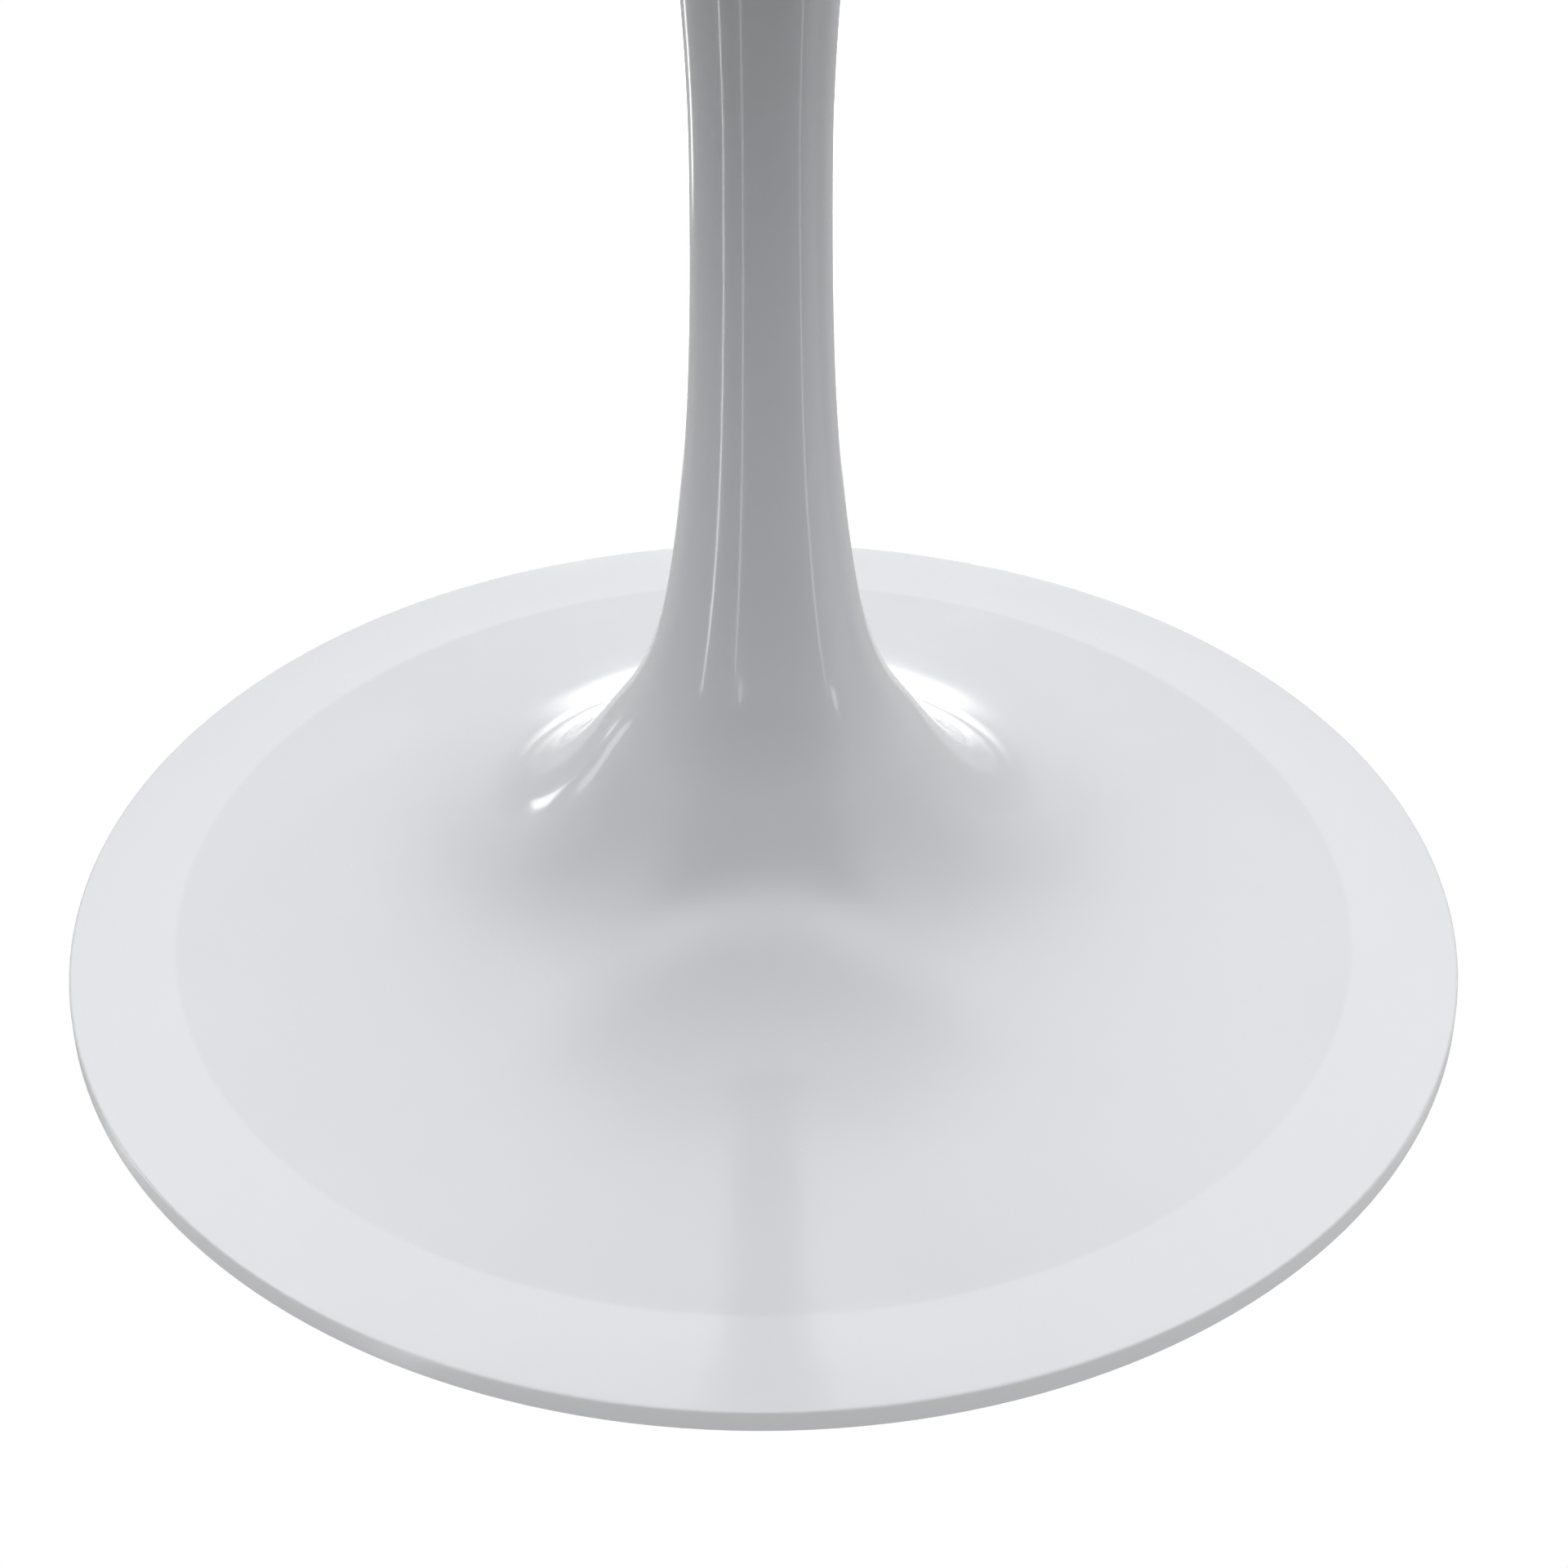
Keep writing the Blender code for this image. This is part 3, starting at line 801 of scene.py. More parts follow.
class RingTree(FormTree):
    """Stands copies of one object on a circle, each turned by its own chance amount."""

    SEED = 11

    def __init__(self) -> None:
        """Build the tree."""
        super().__init__(
            "ring_pattern",
            {
                "Geometry": ("NodeSocketGeometry", None),
                "Piece": ("NodeSocketObject", None),
                "Count": ("NodeSocketInt", 4),
                "Radius": ("NodeSocketFloat", 0.1),
                "Start Angle": ("NodeSocketFloat", 0.0),
                "Loose Turn": ("NodeSocketFloat", 0.0),
                "Material": ("NodeSocketMaterial", None),
            },
        )
        count = self.given("Count")
        index = self.out("GeometryNodeInputIndex")
        angle = index / count * math.tau + self.given("Start Angle")
        radius = self.given("Radius")
        spot = {0: radius * angle.math("COSINE"), 1: radius * angle.math("SINE")}
        place = self.out("ShaderNodeCombineXYZ", {}, spot)
        points = self.out("GeometryNodePoints", {}, {"Count": count, "Position": place, "Radius": 0.001})
        limits = {"Min": 0.0, "Max": self.given("Loose Turn"), "Seed": self.SEED}
        loose = self.out("FunctionNodeRandomValue", {"data_type": "FLOAT"}, limits)
        euler = self.out("ShaderNodeCombineXYZ", {}, {2: angle + loose})
        rotation = self.out("FunctionNodeEulerToRotation", {}, {0: euler})
        settings = {"transform_space": "ORIGINAL"}
        shown = {"Object": self.given("Piece"), "As Instance": True}
        piece = self.out("GeometryNodeObjectInfo", settings, shown, "Geometry")
        stood = {"Points": points, "Instance": piece, "Rotation": rotation}
        placed = self.out("GeometryNodeInstanceOnPoints", {}, stood)
        self.result(self.finished(placed, "Material"))

    def repeat(
        self,
        name: str,
        piece: bpy.types.Object,
        count: int,
        radius: float,
        start: float = 0.0,
        loose: float = 0.0,
    ) -> bpy.types.Object:
        """Copy a piece round a circle and drop the single one.

        Args:
            name: The new object's name.
            piece: The single piece, standing on the axis.
            count: Number of copies.
            radius: The circle's radius.
            start: Angle of the first copy from +X.
            loose: Largest chance turn of a copy about its own axis.

        Returns:
            One object that holds every copy.
        """
        host = bpy.data.objects.new(name, bpy.data.meshes.new(name))
        bpy.context.scene.collection.objects.link(host)
        values = {
            "Piece": piece,
            "Count": count,
            "Radius": radius,
            "Start Angle": start,
            "Loose Turn": loose,
            "Material": piece.data.materials[0],
        }
        self.run(host, values)
        bpy.data.objects.remove(piece, do_unlink=True)
        return host


@dataclass
class Shop:
    """The two form trees and the cuts that every class works with."""

    lathe: LatheTree = field(default_factory=LatheTree)
    ring: RingTree = field(default_factory=RingTree)

    def cut(self, target: bpy.types.Object, tool: bpy.types.Object) -> bpy.types.Object:
        """Subtract one object from another and drop the tool.

        Args:
            target: What is cut.
            tool: What cuts it.

        Returns:
            The cut object.
        """
        modifier = target.modifiers.new("cut", "BOOLEAN")
        modifier.operation = "DIFFERENCE"
        modifier.solver = "EXACT"
        modifier.object = tool
        settle(target)
        bpy.data.objects.remove(tool, do_unlink=True)
        return target

    def join(self, target: bpy.types.Object, extra: bpy.types.Object, index: int) -> bpy.types.Object:
        """Put another object's faces into a target's mesh.

        Args:
            target: Object that grows.
            extra: Object that goes.
            index: The target's material slot for the new faces.

        Returns:
            The grown object.
        """
        for polygon in extra.data.polygons:
            polygon.material_index = index
        shape = bmesh.new()
        shape.from_mesh(target.data)
        shape.from_mesh(extra.data)
        shape.to_mesh(target.data)
        shape.free()
        bpy.data.objects.remove(extra, do_unlink=True)
        target.data.set_sharp_from_angle(angle=SHARP_ANGLE)
        return target

    def copy_at(self, name: str, piece: bpy.types.Object, place: Vector) -> bpy.types.Object:
        """A copy of a piece whose mesh is moved to a place.

        Args:
            name: The copy's name.
            piece: What is copied.
            place: Where the copy's own origin comes to be.

        Returns:
            The copy, itself at the scene's origin.
        """
        mesh = piece.data.copy()
        mesh.transform(Matrix.Translation(place))
        mesh.name = name
        made = bpy.data.objects.new(name, mesh)
        bpy.context.scene.collection.objects.link(made)
        return made


# ---------------------------------------------------------------- sub-assemblies


def show(
    piece: bpy.types.Object, body: str, slot: str, *nodes: str, reflected: bool = True
) -> bpy.types.Object:
    """Hand a finished piece to the frame.

    Args:
        piece: The finished object.
        body: The body that it moves with.
        slot: The record's material slot. Not used.
        nodes: CAD nodes that it stands for.
        reflected: Whether the other pieces' gloss mirrors it.

    Returns:
        The same piece.
    """
    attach(piece, body)
    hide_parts(*nodes)
    piece.visible_glossy = reflected
    LOG.info("%s: %d faces on %s", piece.name, len(piece.data.polygons), body)
    return piece


def numbered(stem: str, count: int) -> list[str]:
    """Names of a numbered run of CAD nodes."""
    return [f"{stem}_{number}" for number in range(1, count + 1)]


@dataclass(frozen=True)
class Boss:
    """Sizes of a set of four round bosses under the casting's wall.

    Attributes:
        use: What is fastened to them.
        radius: Radius at the free end.
        low: Height of the free end.
        bore: Radius of the hole.
        circle: Radius of the circle that they stand on.
        start: Angle of the first.
    """

    use: str
    radius: float
    low: float
    bore: float
    circle: float
    start: float


@dataclass
class Pedestal:
    """The hollow trumpet casting with its flange, thin base rim and inner bosses."""

    shop: Shop
    lacquer: bpy.types.Material
    casting: bpy.types.Material
    base_radius: float = 0.250
    rim_low: float = 0.0012
    rim_top: float = 0.0095
    rim_face_width: float = 0.006
    rim_round: float = 0.0011
    band: tuple[float, float] = (0.2118, 0.0139)
    band_slope: float = math.radians(10.5)
    band_handle: float = 0.0825
    flare: tuple[float, float] = (0.0581, 0.0899)
    flare_slope: float = math.radians(57.3)
    flare_handles: tuple[float, float] = (0.0295, 0.0752)
    neck: tuple[float, float] = (0.0231, 0.3160)
    neck_handles: tuple[float, float] = (0.1100, 0.1875)
    crown_radius: float = 0.080
    crown_handle: tuple[float, float] = (0.0250, 0.0750)
    wall: float = 0.0048
    flange: float = 0.015
    bore: float = 0.030
    boss_draft: float = 0.0006
    boss_depth: float = 0.0085
    boss_segments: int = 40
    ballast_boss: Boss = Boss("ballast", 0.0115, 0.0193, BOLT_DRILL, 0.115, 0.0)
    glide_boss: Boss = Boss("glide", 0.0105, 0.0080, 0.0061, 0.185, math.radians(45.0))
    glide_bore: tuple[float, float] = (0.0110, 0.0163)
    spans: tuple[int, int, int] = (40, 52, 52)
    segments: int = 192

    def __post_init__(self) -> None:
        """Read the casting's top from the frame."""
        self.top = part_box("pedestal")[1].z

    def outer(self) -> list[tuple[float, float]]:
        """The outer outline from the crown down to the band.

        Returns:
            The outline's points.
        """
        crown = (self.crown_radius, self.top)
        crown_down = (crown[0] - self.crown_handle[0], crown[1] - self.crown_handle[1])
        neck_up = (self.neck[0], self.neck[1] + self.neck_handles[0])
        neck_down = (self.neck[0], self.neck[1] - self.neck_handles[1])
        run = (math.cos(self.flare_slope), -math.sin(self.flare_slope))
        up, down = self.flare_handles
        flare_up = (self.flare[0] - up * run[0], self.flare[1] - up * run[1])
        flare_down = (self.flare[0] + down * run[0], self.flare[1] + down * run[1])
        band_up = (
            self.band[0] - self.band_handle * math.cos(self.band_slope),
            self.band[1] + self.band_handle * math.sin(self.band_slope),
        )
        upper = bezier((crown, crown_down, neck_up, self.neck), self.spans[0])
        lower = bezier((self.neck, neck_down, flare_up, self.flare), self.spans[1])
        skirt = bezier((self.flare, flare_down, band_up, self.band), self.spans[2])
        return upper + lower[1:] + skirt[1:]

    def inner(self, outer: list[tuple[float, float]]) -> list[tuple[float, float]]:
        """The inner wall from the base up, one wall's thickness inside the outer outline.

        Args:
            outer: The outer outline.

        Returns:
            The wall's points. Every other one is left out.
        """
        ceiling = self.top - self.flange - 0.004
        wall = []
        for before, here, after in zip(outer, outer[1:], outer[2:]):
            along = (Vector(after) - Vector(before)).normalized()
            point = Vector(here) + Vector((along.y, -along.x)) * self.wall
            if point.y < ceiling and point.x < self.band[0] - 0.004:
                wall.append((point.x, point.y))
        return list(reversed(wall[::2]))

    def build(self) -> bpy.types.Object:
        """Turn the casting, open its wall above the glides and join its bosses.

        Returns:
            The finished casting.
        """
        outer = self.outer()
        lip = self.base_radius - self.rim_face_width
        fall = (lip - self.band[0]) / (self.base_radius - self.band[0])
        lip_roof = self.band[1] - (self.band[1] - self.rim_top) * fall - self.wall
        ceiling = self.top - self.flange
        inner = self.inner(outer)
        corners = [(self.bore, self.top, 0.0008)]
        corners += [(radius, height, 0.0) for radius, height in outer]
        corners[1] = (*outer[0], 0.0010)
        corners[-1] = (*outer[-1], 0.0022)
        corners += [(self.base_radius, self.rim_top, self.rim_round)]
        corners += [(self.base_radius, self.rim_low, 0.0007), (lip, self.rim_low, 0.0009)]
        split = len(soften(corners))
        corners += [(lip, lip_roof, 0.0010)]
        corners += [(radius, height, 0.0) for radius, height in inner]
        corners += [(inner[-1][0] + 0.0012, ceiling, 0.0030), (self.bore, ceiling, 0.0010)]
        outline = soften(corners, closed=True)
        piece = self.shop.lathe.turn(
            "pedestal_casting", outline, self.lacquer, self.segments, (split, self.casting)
        )
        self.shop.cut(piece, self._glide_bores())
        self.shop.join(piece, self._bosses(self.ballast_boss), 1)
        self.shop.join(piece, self._bosses(self.glide_boss), 1)
        return show(piece, TABLE_BODY, "pedestal_lacquer", "pedestal")

    def _glide_bores(self) -> bpy.types.Object:
        """The cutter that makes room in the wall for the inserts and studs.

        Returns:
            One object that holds the four.
        """
        low, high = self.glide_bore
        boss = self.glide_boss
        corners = [(0.0, low), (boss.bore, low), (boss.bore, high), (0.0, high)]
        single = self.shop.lathe.turn("glide_bore", plain(corners), self.casting, self.boss_segments)
        return self.shop.ring.repeat("glide_bores", single, 4, boss.circle, boss.start)

    def _bosses(self, boss: Boss) -> bpy.types.Object:
        """Four round bosses whose roots end inside the wall.

        Args:
            boss: Their sizes.

        Returns:
            One object that holds the four.
        """
        skin = [height for reach, height in self.outer() if reach >= boss.circle + boss.radius]
        root = skin[0] - self.wall * 0.5
        deep = boss.low + self.boss_depth
        corners = [
            (0.0, root, 0.0),
            (boss.radius + self.boss_draft, root, 0.0),
            (boss.radius, boss.low, 0.0009),
            (boss.bore, boss.low, 0.0005),
            (boss.bore, deep, 0.0),
            (0.0, deep + 0.0002, 0.0),
        ]
        name = f"{boss.use}_boss"
        single = self.shop.lathe.turn(name, soften(corners), self.casting, self.boss_segments)
        return self.shop.ring.repeat(f"{name}es", single, 4, boss.circle, boss.start)


@dataclass
class Tabletop:
    """The lacquered disc whose underside is bevelled towards a thin lip."""

    shop: Shop
    lacquer: bpy.types.Material
    lip: float = 0.008
    bevel_width: float = 0.050
    edge_round: float = 0.0022
    arris: float = 0.0060
    segments: int = 256

    def build(self) -> bpy.types.Object:
        """Turn the top.

        Returns:
            The finished top.
        """
        low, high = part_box("tabletop")
        radius = high.x
        corners = [
            (0.0, low.z, 0.0),
            (radius - self.bevel_width, low.z, self.arris),
            (radius, high.z - self.lip, self.edge_round),
            (radius, high.z, self.edge_round),
            (radius * 0.6, high.z, 0.0),
            (0.0, high.z, 0.0),
        ]
        outline = soften(corners, steps=6)
        piece = self.shop.lathe.turn("tabletop_disc", outline, self.lacquer, self.segments)
        return show(piece, TABLE_BODY, "top_lacquer", "tabletop", reflected=False)


@dataclass
class MountingPlate:
    """The steel disc under the top with its pan-head and countersunk screws."""

    shop: Shop
    coat: bpy.types.Material
    zinc: bpy.types.Material
    radius: float = 0.145
    wood_screws: int = 8
    wood_circle: float = 0.125
    wood_shank: float = 0.0022
    wood_tip: float = 0.0180
    wood_pitch: float = 0.0018
    wood_depth: float = 0.0007
    pan_radius: float = 0.0044
    pan_height: float = 0.0026
    cross_size: float = 0.0042
    cross_blade: float = 0.00085
    cross_depth: float = 0.0014
    flange_screws: int = 4
    flange_circle: float = 0.055
    sunk_radius: float = 0.0084
    sunk_head: float = 0.0044
    sunk_length: float = 0.0170
    socket_radius: float = 0.0025
    socket_depth: float = 0.0022

    def __post_init__(self) -> None:
        """Read the plate's faces from the frame."""
        low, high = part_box("mounting_plate")
        self.low = low.z
        self.high = high.z

    def build(self) -> None:
        """Make the plate and both sets of screws."""
        corners = [
            (0.0, self.low, 0.0),
            (self.radius, self.low, 0.0007),
            (self.radius, self.high, 0.0005),
            (0.0, self.high, 0.0),
        ]
        plate = self.shop.lathe.turn("top_plate", soften(corners), self.coat, 160)
        self.shop.cut(plate, self._holes())
        show(plate, TABLE_BODY, "black_coat", "mounting_plate", reflected=False)
        self._pan_screws()
        self._sunk_screws()

    def _holes(self) -> bpy.types.Object:
        """The cutter for both circles of holes.

        Returns:
            One object that holds the drills and the countersinks.
        """
        over = MILLIMETRE
        straight = self.wood_shank + GAP
        drill = [(0.0, self.low - over), (straight, self.low - over), (straight, self.high + over)]
        single = self.shop.lathe.turn("drill", plain(drill + [(0.0, self.high + over)]), self.coat, 24)
        start = math.pi / self.wood_screws
        holes = self.shop.ring.repeat("drills", single, self.wood_screws, self.wood_circle, start)
        sink = self.high - self.sunk_head - GAP
        mouth = self.sunk_radius + GAP + over
        cone = [(0.0, self.low - over), (BOLT_DRILL, self.low - over), (BOLT_DRILL, sink)]
        cone += [(mouth, self.high + over), (0.0, self.high + over)]
        single = self.shop.lathe.turn("countersink", plain(cone), self.coat, 32)
        sinks = self.shop.ring.repeat("countersinks", single, self.flange_screws, self.flange_circle)
        return self.shop.join(holes, sinks, 0)

    def _pan_screws(self) -> None:
        """Pan-head wood screws with a cross recess, pointing up."""
        head_top = self.low - GAP
        head = self.pan_height
        tip = self.low + self.wood_tip
        corners = [
            (0.0, head_top - head, 0.0),
            (self.pan_radius * 0.62, head_top - head, 0.0012),
            (self.pan_radius, head_top - head * 0.42, 0.0009),
            (self.pan_radius, head_top, 0.0003),
            (self.wood_shank, head_top, 0.0),
        ]
        pitch, depth = self.wood_pitch, self.wood_depth
        shank = threaded(self.wood_shank, head_top, tip, pitch, depth)
        outline = soften(corners) + shank[1:-2] + [Station(0.0, tip)]
        single = self.shop.lathe.turn("pan_screw", outline, self.zinc, 24, pitch=pitch, depth=depth)
        self.shop.cut(single, self._cross(head_top - head))
        start = math.pi / self.wood_screws
        piece = self.shop.ring.repeat(
            "pan_screws", single, self.wood_screws, self.wood_circle, start, math.tau
        )
        show(piece, TABLE_BODY, "zinc_steel", *numbered("wood_screw", self.wood_screws))

    def _cross(self, face: float) -> bpy.types.Object:
        """The cutter for a cross recess in a screw's face.

        Args:
            face: Height of the face that it goes into.

        Returns:
            One cross-shaped prism, half of it inside the head.
        """
        reach = self.cross_size / 2.0
        blade = self.cross_blade / 2.0
        quadrant = [Vector((reach, -blade, 0.0)), Vector((reach, blade, 0.0)), Vector((blade, blade, 0.0))]
        shape = bmesh.new()
        corners = []
        for step in range(4):
            turned = Matrix.Rotation(step * math.pi / 2.0, 4, "Z")
            place = Matrix.Translation((0.0, 0.0, face - self.cross_depth)) @ turned
            corners += [shape.verts.new(place @ corner) for corner in quadrant]
        foot = shape.faces.new(corners)
        grown = bmesh.ops.extrude_face_region(shape, geom=[foot])["geom"]
        top = [item for item in grown if isinstance(item, bmesh.types.BMVert)]
        bmesh.ops.translate(shape, verts=top, vec=(0.0, 0.0, self.cross_depth * 2.0))
        bmesh.ops.recalc_face_normals(shape, faces=shape.faces[:])
        mesh = bpy.data.meshes.new("cross_recess")
        shape.to_mesh(mesh)
        shape.free()
        tool = bpy.data.objects.new("cross_recess", mesh)
        bpy.context.scene.collection.objects.link(tool)
        return tool

    def _sunk_screws(self) -> None:
        """Countersunk screws with a hexagon socket, pointing down."""
        top = self.high - GAP
        socket, depth = self.socket_radius, self.socket_depth
        corners = [
            (0.0, depth + 0.0002, 0.0),
            (socket, depth, 0.0),
            (socket, 0.0, 0.0),
            (self.sunk_radius - 0.0003, 0.0, 0.0003),
            (self.sunk_radius, 0.0004, 0.0003),
            (BOLT_RADIUS, self.sunk_head, 0.0),
        ]
        outline = soften(corners)
        outline[1] = Station(socket, depth, Mark.HEXAGON)
        outline[2] = Station(socket, 0.0, Mark.HEXAGON)
        shank = threaded(BOLT_RADIUS, self.sunk_head, self.sunk_length, THREAD_PITCH, THREAD_DEPTH)
        outline = outline + shank[1:]
        single = self.shop.lathe.turn("sunk_screw", downwards(outline, top), self.zinc, 36)
        piece = self.shop.ring.repeat(
            "sunk_screws", single, self.flange_screws, self.flange_circle, 0.0, math.tau
        )
        show(piece, TABLE_BODY, "zinc_steel", *numbered("flange_screw", self.flange_screws))


@dataclass
class Ballast:
    """The cast-iron weight in the base with the bolts and washers that hold it."""

    shop: Shop
    iron: bpy.types.Material
    zinc: bpy.types.Material
    count: int = 4
    circle: float = 0.115
    hub_radius: float = 0.082
    hub_draft: float = 0.004
    bore: float = 0.030
    plate: float = 0.010
    washer_radius: float = 0.0080
    washer: float = 0.0013
    head_flats: float = 0.013
    head: float = 0.005
    length: float = 0.0195
    drill_over: float = 0.002

    def build(self) -> None:
        """Make the weight, then its washers and bolts."""
        low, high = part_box("ballast_weight")
        step = low.z + self.plate
        corners = [
            (self.bore, low.z, 0.0012),
            (high.x, low.z, 0.0014),
            (high.x, step, 0.0018),
            (self.hub_radius, step, 0.0035),
            (self.hub_radius - self.hub_draft, high.z, 0.0022),
            (self.bore, high.z, 0.0014),
        ]
        outline = soften(corners, closed=True)
        weight = self.shop.lathe.turn("iron_weight", outline, self.iron, 160)
        under, over = low.z - self.drill_over, step + self.drill_over
        drill = [(0.0, under), (BOLT_DRILL, under), (BOLT_DRILL, over), (0.0, over)]
        single = self.shop.lathe.turn("bolt_drill", plain(drill), self.iron, 32)
        self.shop.cut(weight, self.shop.ring.repeat("bolt_drills", single, self.count, self.circle))
        show(weight, TABLE_BODY, "cast_iron", "ballast_weight")
        top = low.z - GAP
        self._washers(top)
        self._bolts(top - self.washer - GAP)

    def _washers(self, top: float) -> None:
        """Flat washers under the bolts' heads.

        Args:
            top: Height of their upper faces.
        """
        low = top - self.washer
        corners = [
            (BOLT_DRILL, low, 0.0002),
            (self.washer_radius, low, 0.0004),
            (self.washer_radius, top, 0.0002),
            (BOLT_DRILL, top, 0.0002),
        ]
        single = self.shop.lathe.turn("washer", soften(corners, closed=True), self.zinc, 48)
        piece = self.shop.ring.repeat("ballast_washers", single, self.count, self.circle)
        show(piece, TABLE_BODY, "zinc_steel", *numbered("ballast_washer", self.count))

    def _bolts(self, bearing: float) -> None:
        """Hexagon bolts, pointing up, each turned as it was tightened.

        Args:
            bearing: Height of the faces under their heads.
        """
        half = self.head_flats / 2.0
        low = bearing - self.head
        outline = [
            Station(0.0, low),
            Station(half * 0.93, low),
            Station(half * 0.985, low + 0.0003),
            Station(half, low + 0.0009, Mark.HEXAGON),
            Station(half, bearing - 0.0004, Mark.HEXAGON),
            Station(half * 0.96, bearing),
            Station(BOLT_RADIUS, bearing),
        ]
        outline += threaded(BOLT_RADIUS, bearing, bearing + self.length, THREAD_PITCH, THREAD_DEPTH)
        single = self.shop.lathe.turn("hex_bolt", outline, self.zinc, 48)
        piece = self.shop.ring.repeat(
            "ballast_bolts", single, self.count, self.circle, 0.0, math.tau / 6.0
        )
        show(piece, TABLE_BODY, "zinc_steel", *numbered("ballast_bolt", self.count))


@dataclass
class LevellingGlides:
    """Four nylon pads, each on a threaded stud in an insert under the base."""

    shop: Shop
    nylon: bpy.types.Material
    zinc: bpy.types.Material
    count: int = 4
    circle: float = 0.185
    start: float = math.radians(45.0)
    pad_radius: float = 0.013
    pad_top: float = 0.0046
    pocket_radius: float = 0.0072
    pocket: tuple[float, float] = (0.0014, 0.0036)
    insert_low: float = 0.0065
    insert_high: float = 0.0159
    insert_bore: float = 0.0043
    sleeve_radius: float = 0.0060
    collar_radius: float = 0.0085
    collar_height: float = 0.0012
    stud_high: float = 0.0158

    def build(self) -> None:
        """Make the inserts and, for each glide, its pad and its stud."""
        piece = self.shop.ring.repeat("glide_inserts", self._insert(), self.count, self.circle, self.start)
        show(piece, TABLE_BODY, "zinc_steel", *numbered("glide_insert", self.count))
        pad = self._pad()
        stud = self._stud()
        for number in range(1, self.count + 1):
            angle = self.start + math.tau * (number - 1) / self.count
            place = Vector((math.cos(angle), math.sin(angle), 0.0)) * self.circle
            made = self.shop.copy_at(f"nylon_pad_{number}", pad, place)
            show(made, f"glide_pad_{number}_body", "nylon", f"glide_pad_{number}")
            made = self.shop.copy_at(f"threaded_stud_{number}", stud, place)
            show(made, f"glide_stud_{number}_body", "zinc_steel", f"glide_stud_{number}")
        for single in (pad, stud):
            bpy.data.objects.remove(single, do_unlink=True)

    def _insert(self) -> bpy.types.Object:
        """A collared sleeve with a round bore.

        Returns:
            One insert on the axis.
        """
        collar = self.insert_low + self.collar_height
        corners = [
            (self.insert_bore, self.insert_low, 0.0003),
            (self.collar_radius, self.insert_low, 0.0003),
            (self.collar_radius, collar, 0.0002),
            (self.sleeve_radius, collar, 0.0),
            (self.sleeve_radius, self.insert_high, 0.0003),
            (self.insert_bore, self.insert_high, 0.0002),
        ]
        return self.shop.lathe.turn("insert", soften(corners, closed=True), self.zinc, 40)

    def _pad(self) -> bpy.types.Object:
        """A domed disc with a pocket for the stud's head and a ring mark underneath.

        Returns:
            One pad on the axis.
        """
        floor, roof = self.pocket
        corners = [
            (0.0, 0.0003, 0.0),
            (0.0040, 0.0003, 0.0002),
            (0.0044, 0.0, 0.0002),
            (self.pad_radius - 0.0006, 0.0, 0.0003),
            (self.pad_radius, 0.0007, 0.0003),
            (self.pad_radius, 0.0024, 0.0007),
            (0.0088, self.pad_top, 0.0010),
            (0.0050, self.pad_top, 0.0003),
            (0.0050, roof, 0.0002),
            (self.pocket_radius, roof, 0.0002),
            (self.pocket_radius, floor, 0.0002),
            (0.0, floor, 0.0),
        ]
        return self.shop.lathe.turn("pad", soften(corners), self.nylon, 64)

    def _stud(self) -> bpy.types.Object:
        """A captive head, a hexagon for the spanner and the threaded shank.

        Returns:
            One stud on the axis.
        """
        outline = [
            Station(0.0, 0.0017),
            Station(0.0065, 0.0017),
            Station(0.0068, 0.0020),
            Station(0.0068, 0.0030),
            Station(0.0065, 0.0033),
            Station(BOLT_RADIUS, 0.0033),
            Station(BOLT_RADIUS, 0.0049),
            Station(0.0048, 0.0049),
            Station(0.0050, 0.0051, Mark.HEXAGON),
            Station(0.0050, 0.0060, Mark.HEXAGON),
            Station(0.0048, 0.0062),
            Station(BOLT_RADIUS, 0.0062),
        ]
        outline += threaded(BOLT_RADIUS, 0.0062, self.stud_high, THREAD_PITCH, THREAD_DEPTH)
        return self.shop.lathe.turn("stud", outline, self.zinc, 36)


# ---------------------------------------------------------------- studio


class Quarter(Enum):
    """The four ways out from the table, as the camera has them."""

    FRONT = "front"
    LEFT = "left"
    RIGHT = "right"
    BACK = "back"


@dataclass(frozen=True)
class Strip:
    """A narrow light lying on the floor and pointing at the table's axis.

    Attributes:
        azimuth: Direction from the axis, in degrees from straight behind towards the right.
        near: Distance of its near end from the axis.
        far: Distance of its far end.
        half_width: Half of its width.
        level: Its strength.
    """

    azimuth: float
    near: float
    far: float
    half_width: float
    level: float

    def glow(self, pad: Pad, across: Sock, depth: Sock) -> Sock:
        """The strip's own strength over the floor.

        Args:
            pad: The floor's tree.
            across: The floor's own X.
            depth: The floor's own Y.

        Returns:
            Zero off the strip and its level on it.
        """
        angle = math.radians(self.azimuth)
        along = across * math.sin(angle) + depth * math.cos(angle)
        aside = (across * math.cos(angle) - depth * math.sin(angle)).math("ABSOLUTE")
        width = aside.ramp(self.half_width * 0.7, self.half_width * 1.3, 1.0, 0.0)
        length = along.ramp(self.near - 0.03, self.near + 0.03)
        length = length * along.ramp(self.far, self.far * 1.2, 1.0, 0.0)
        return width * length * self.level


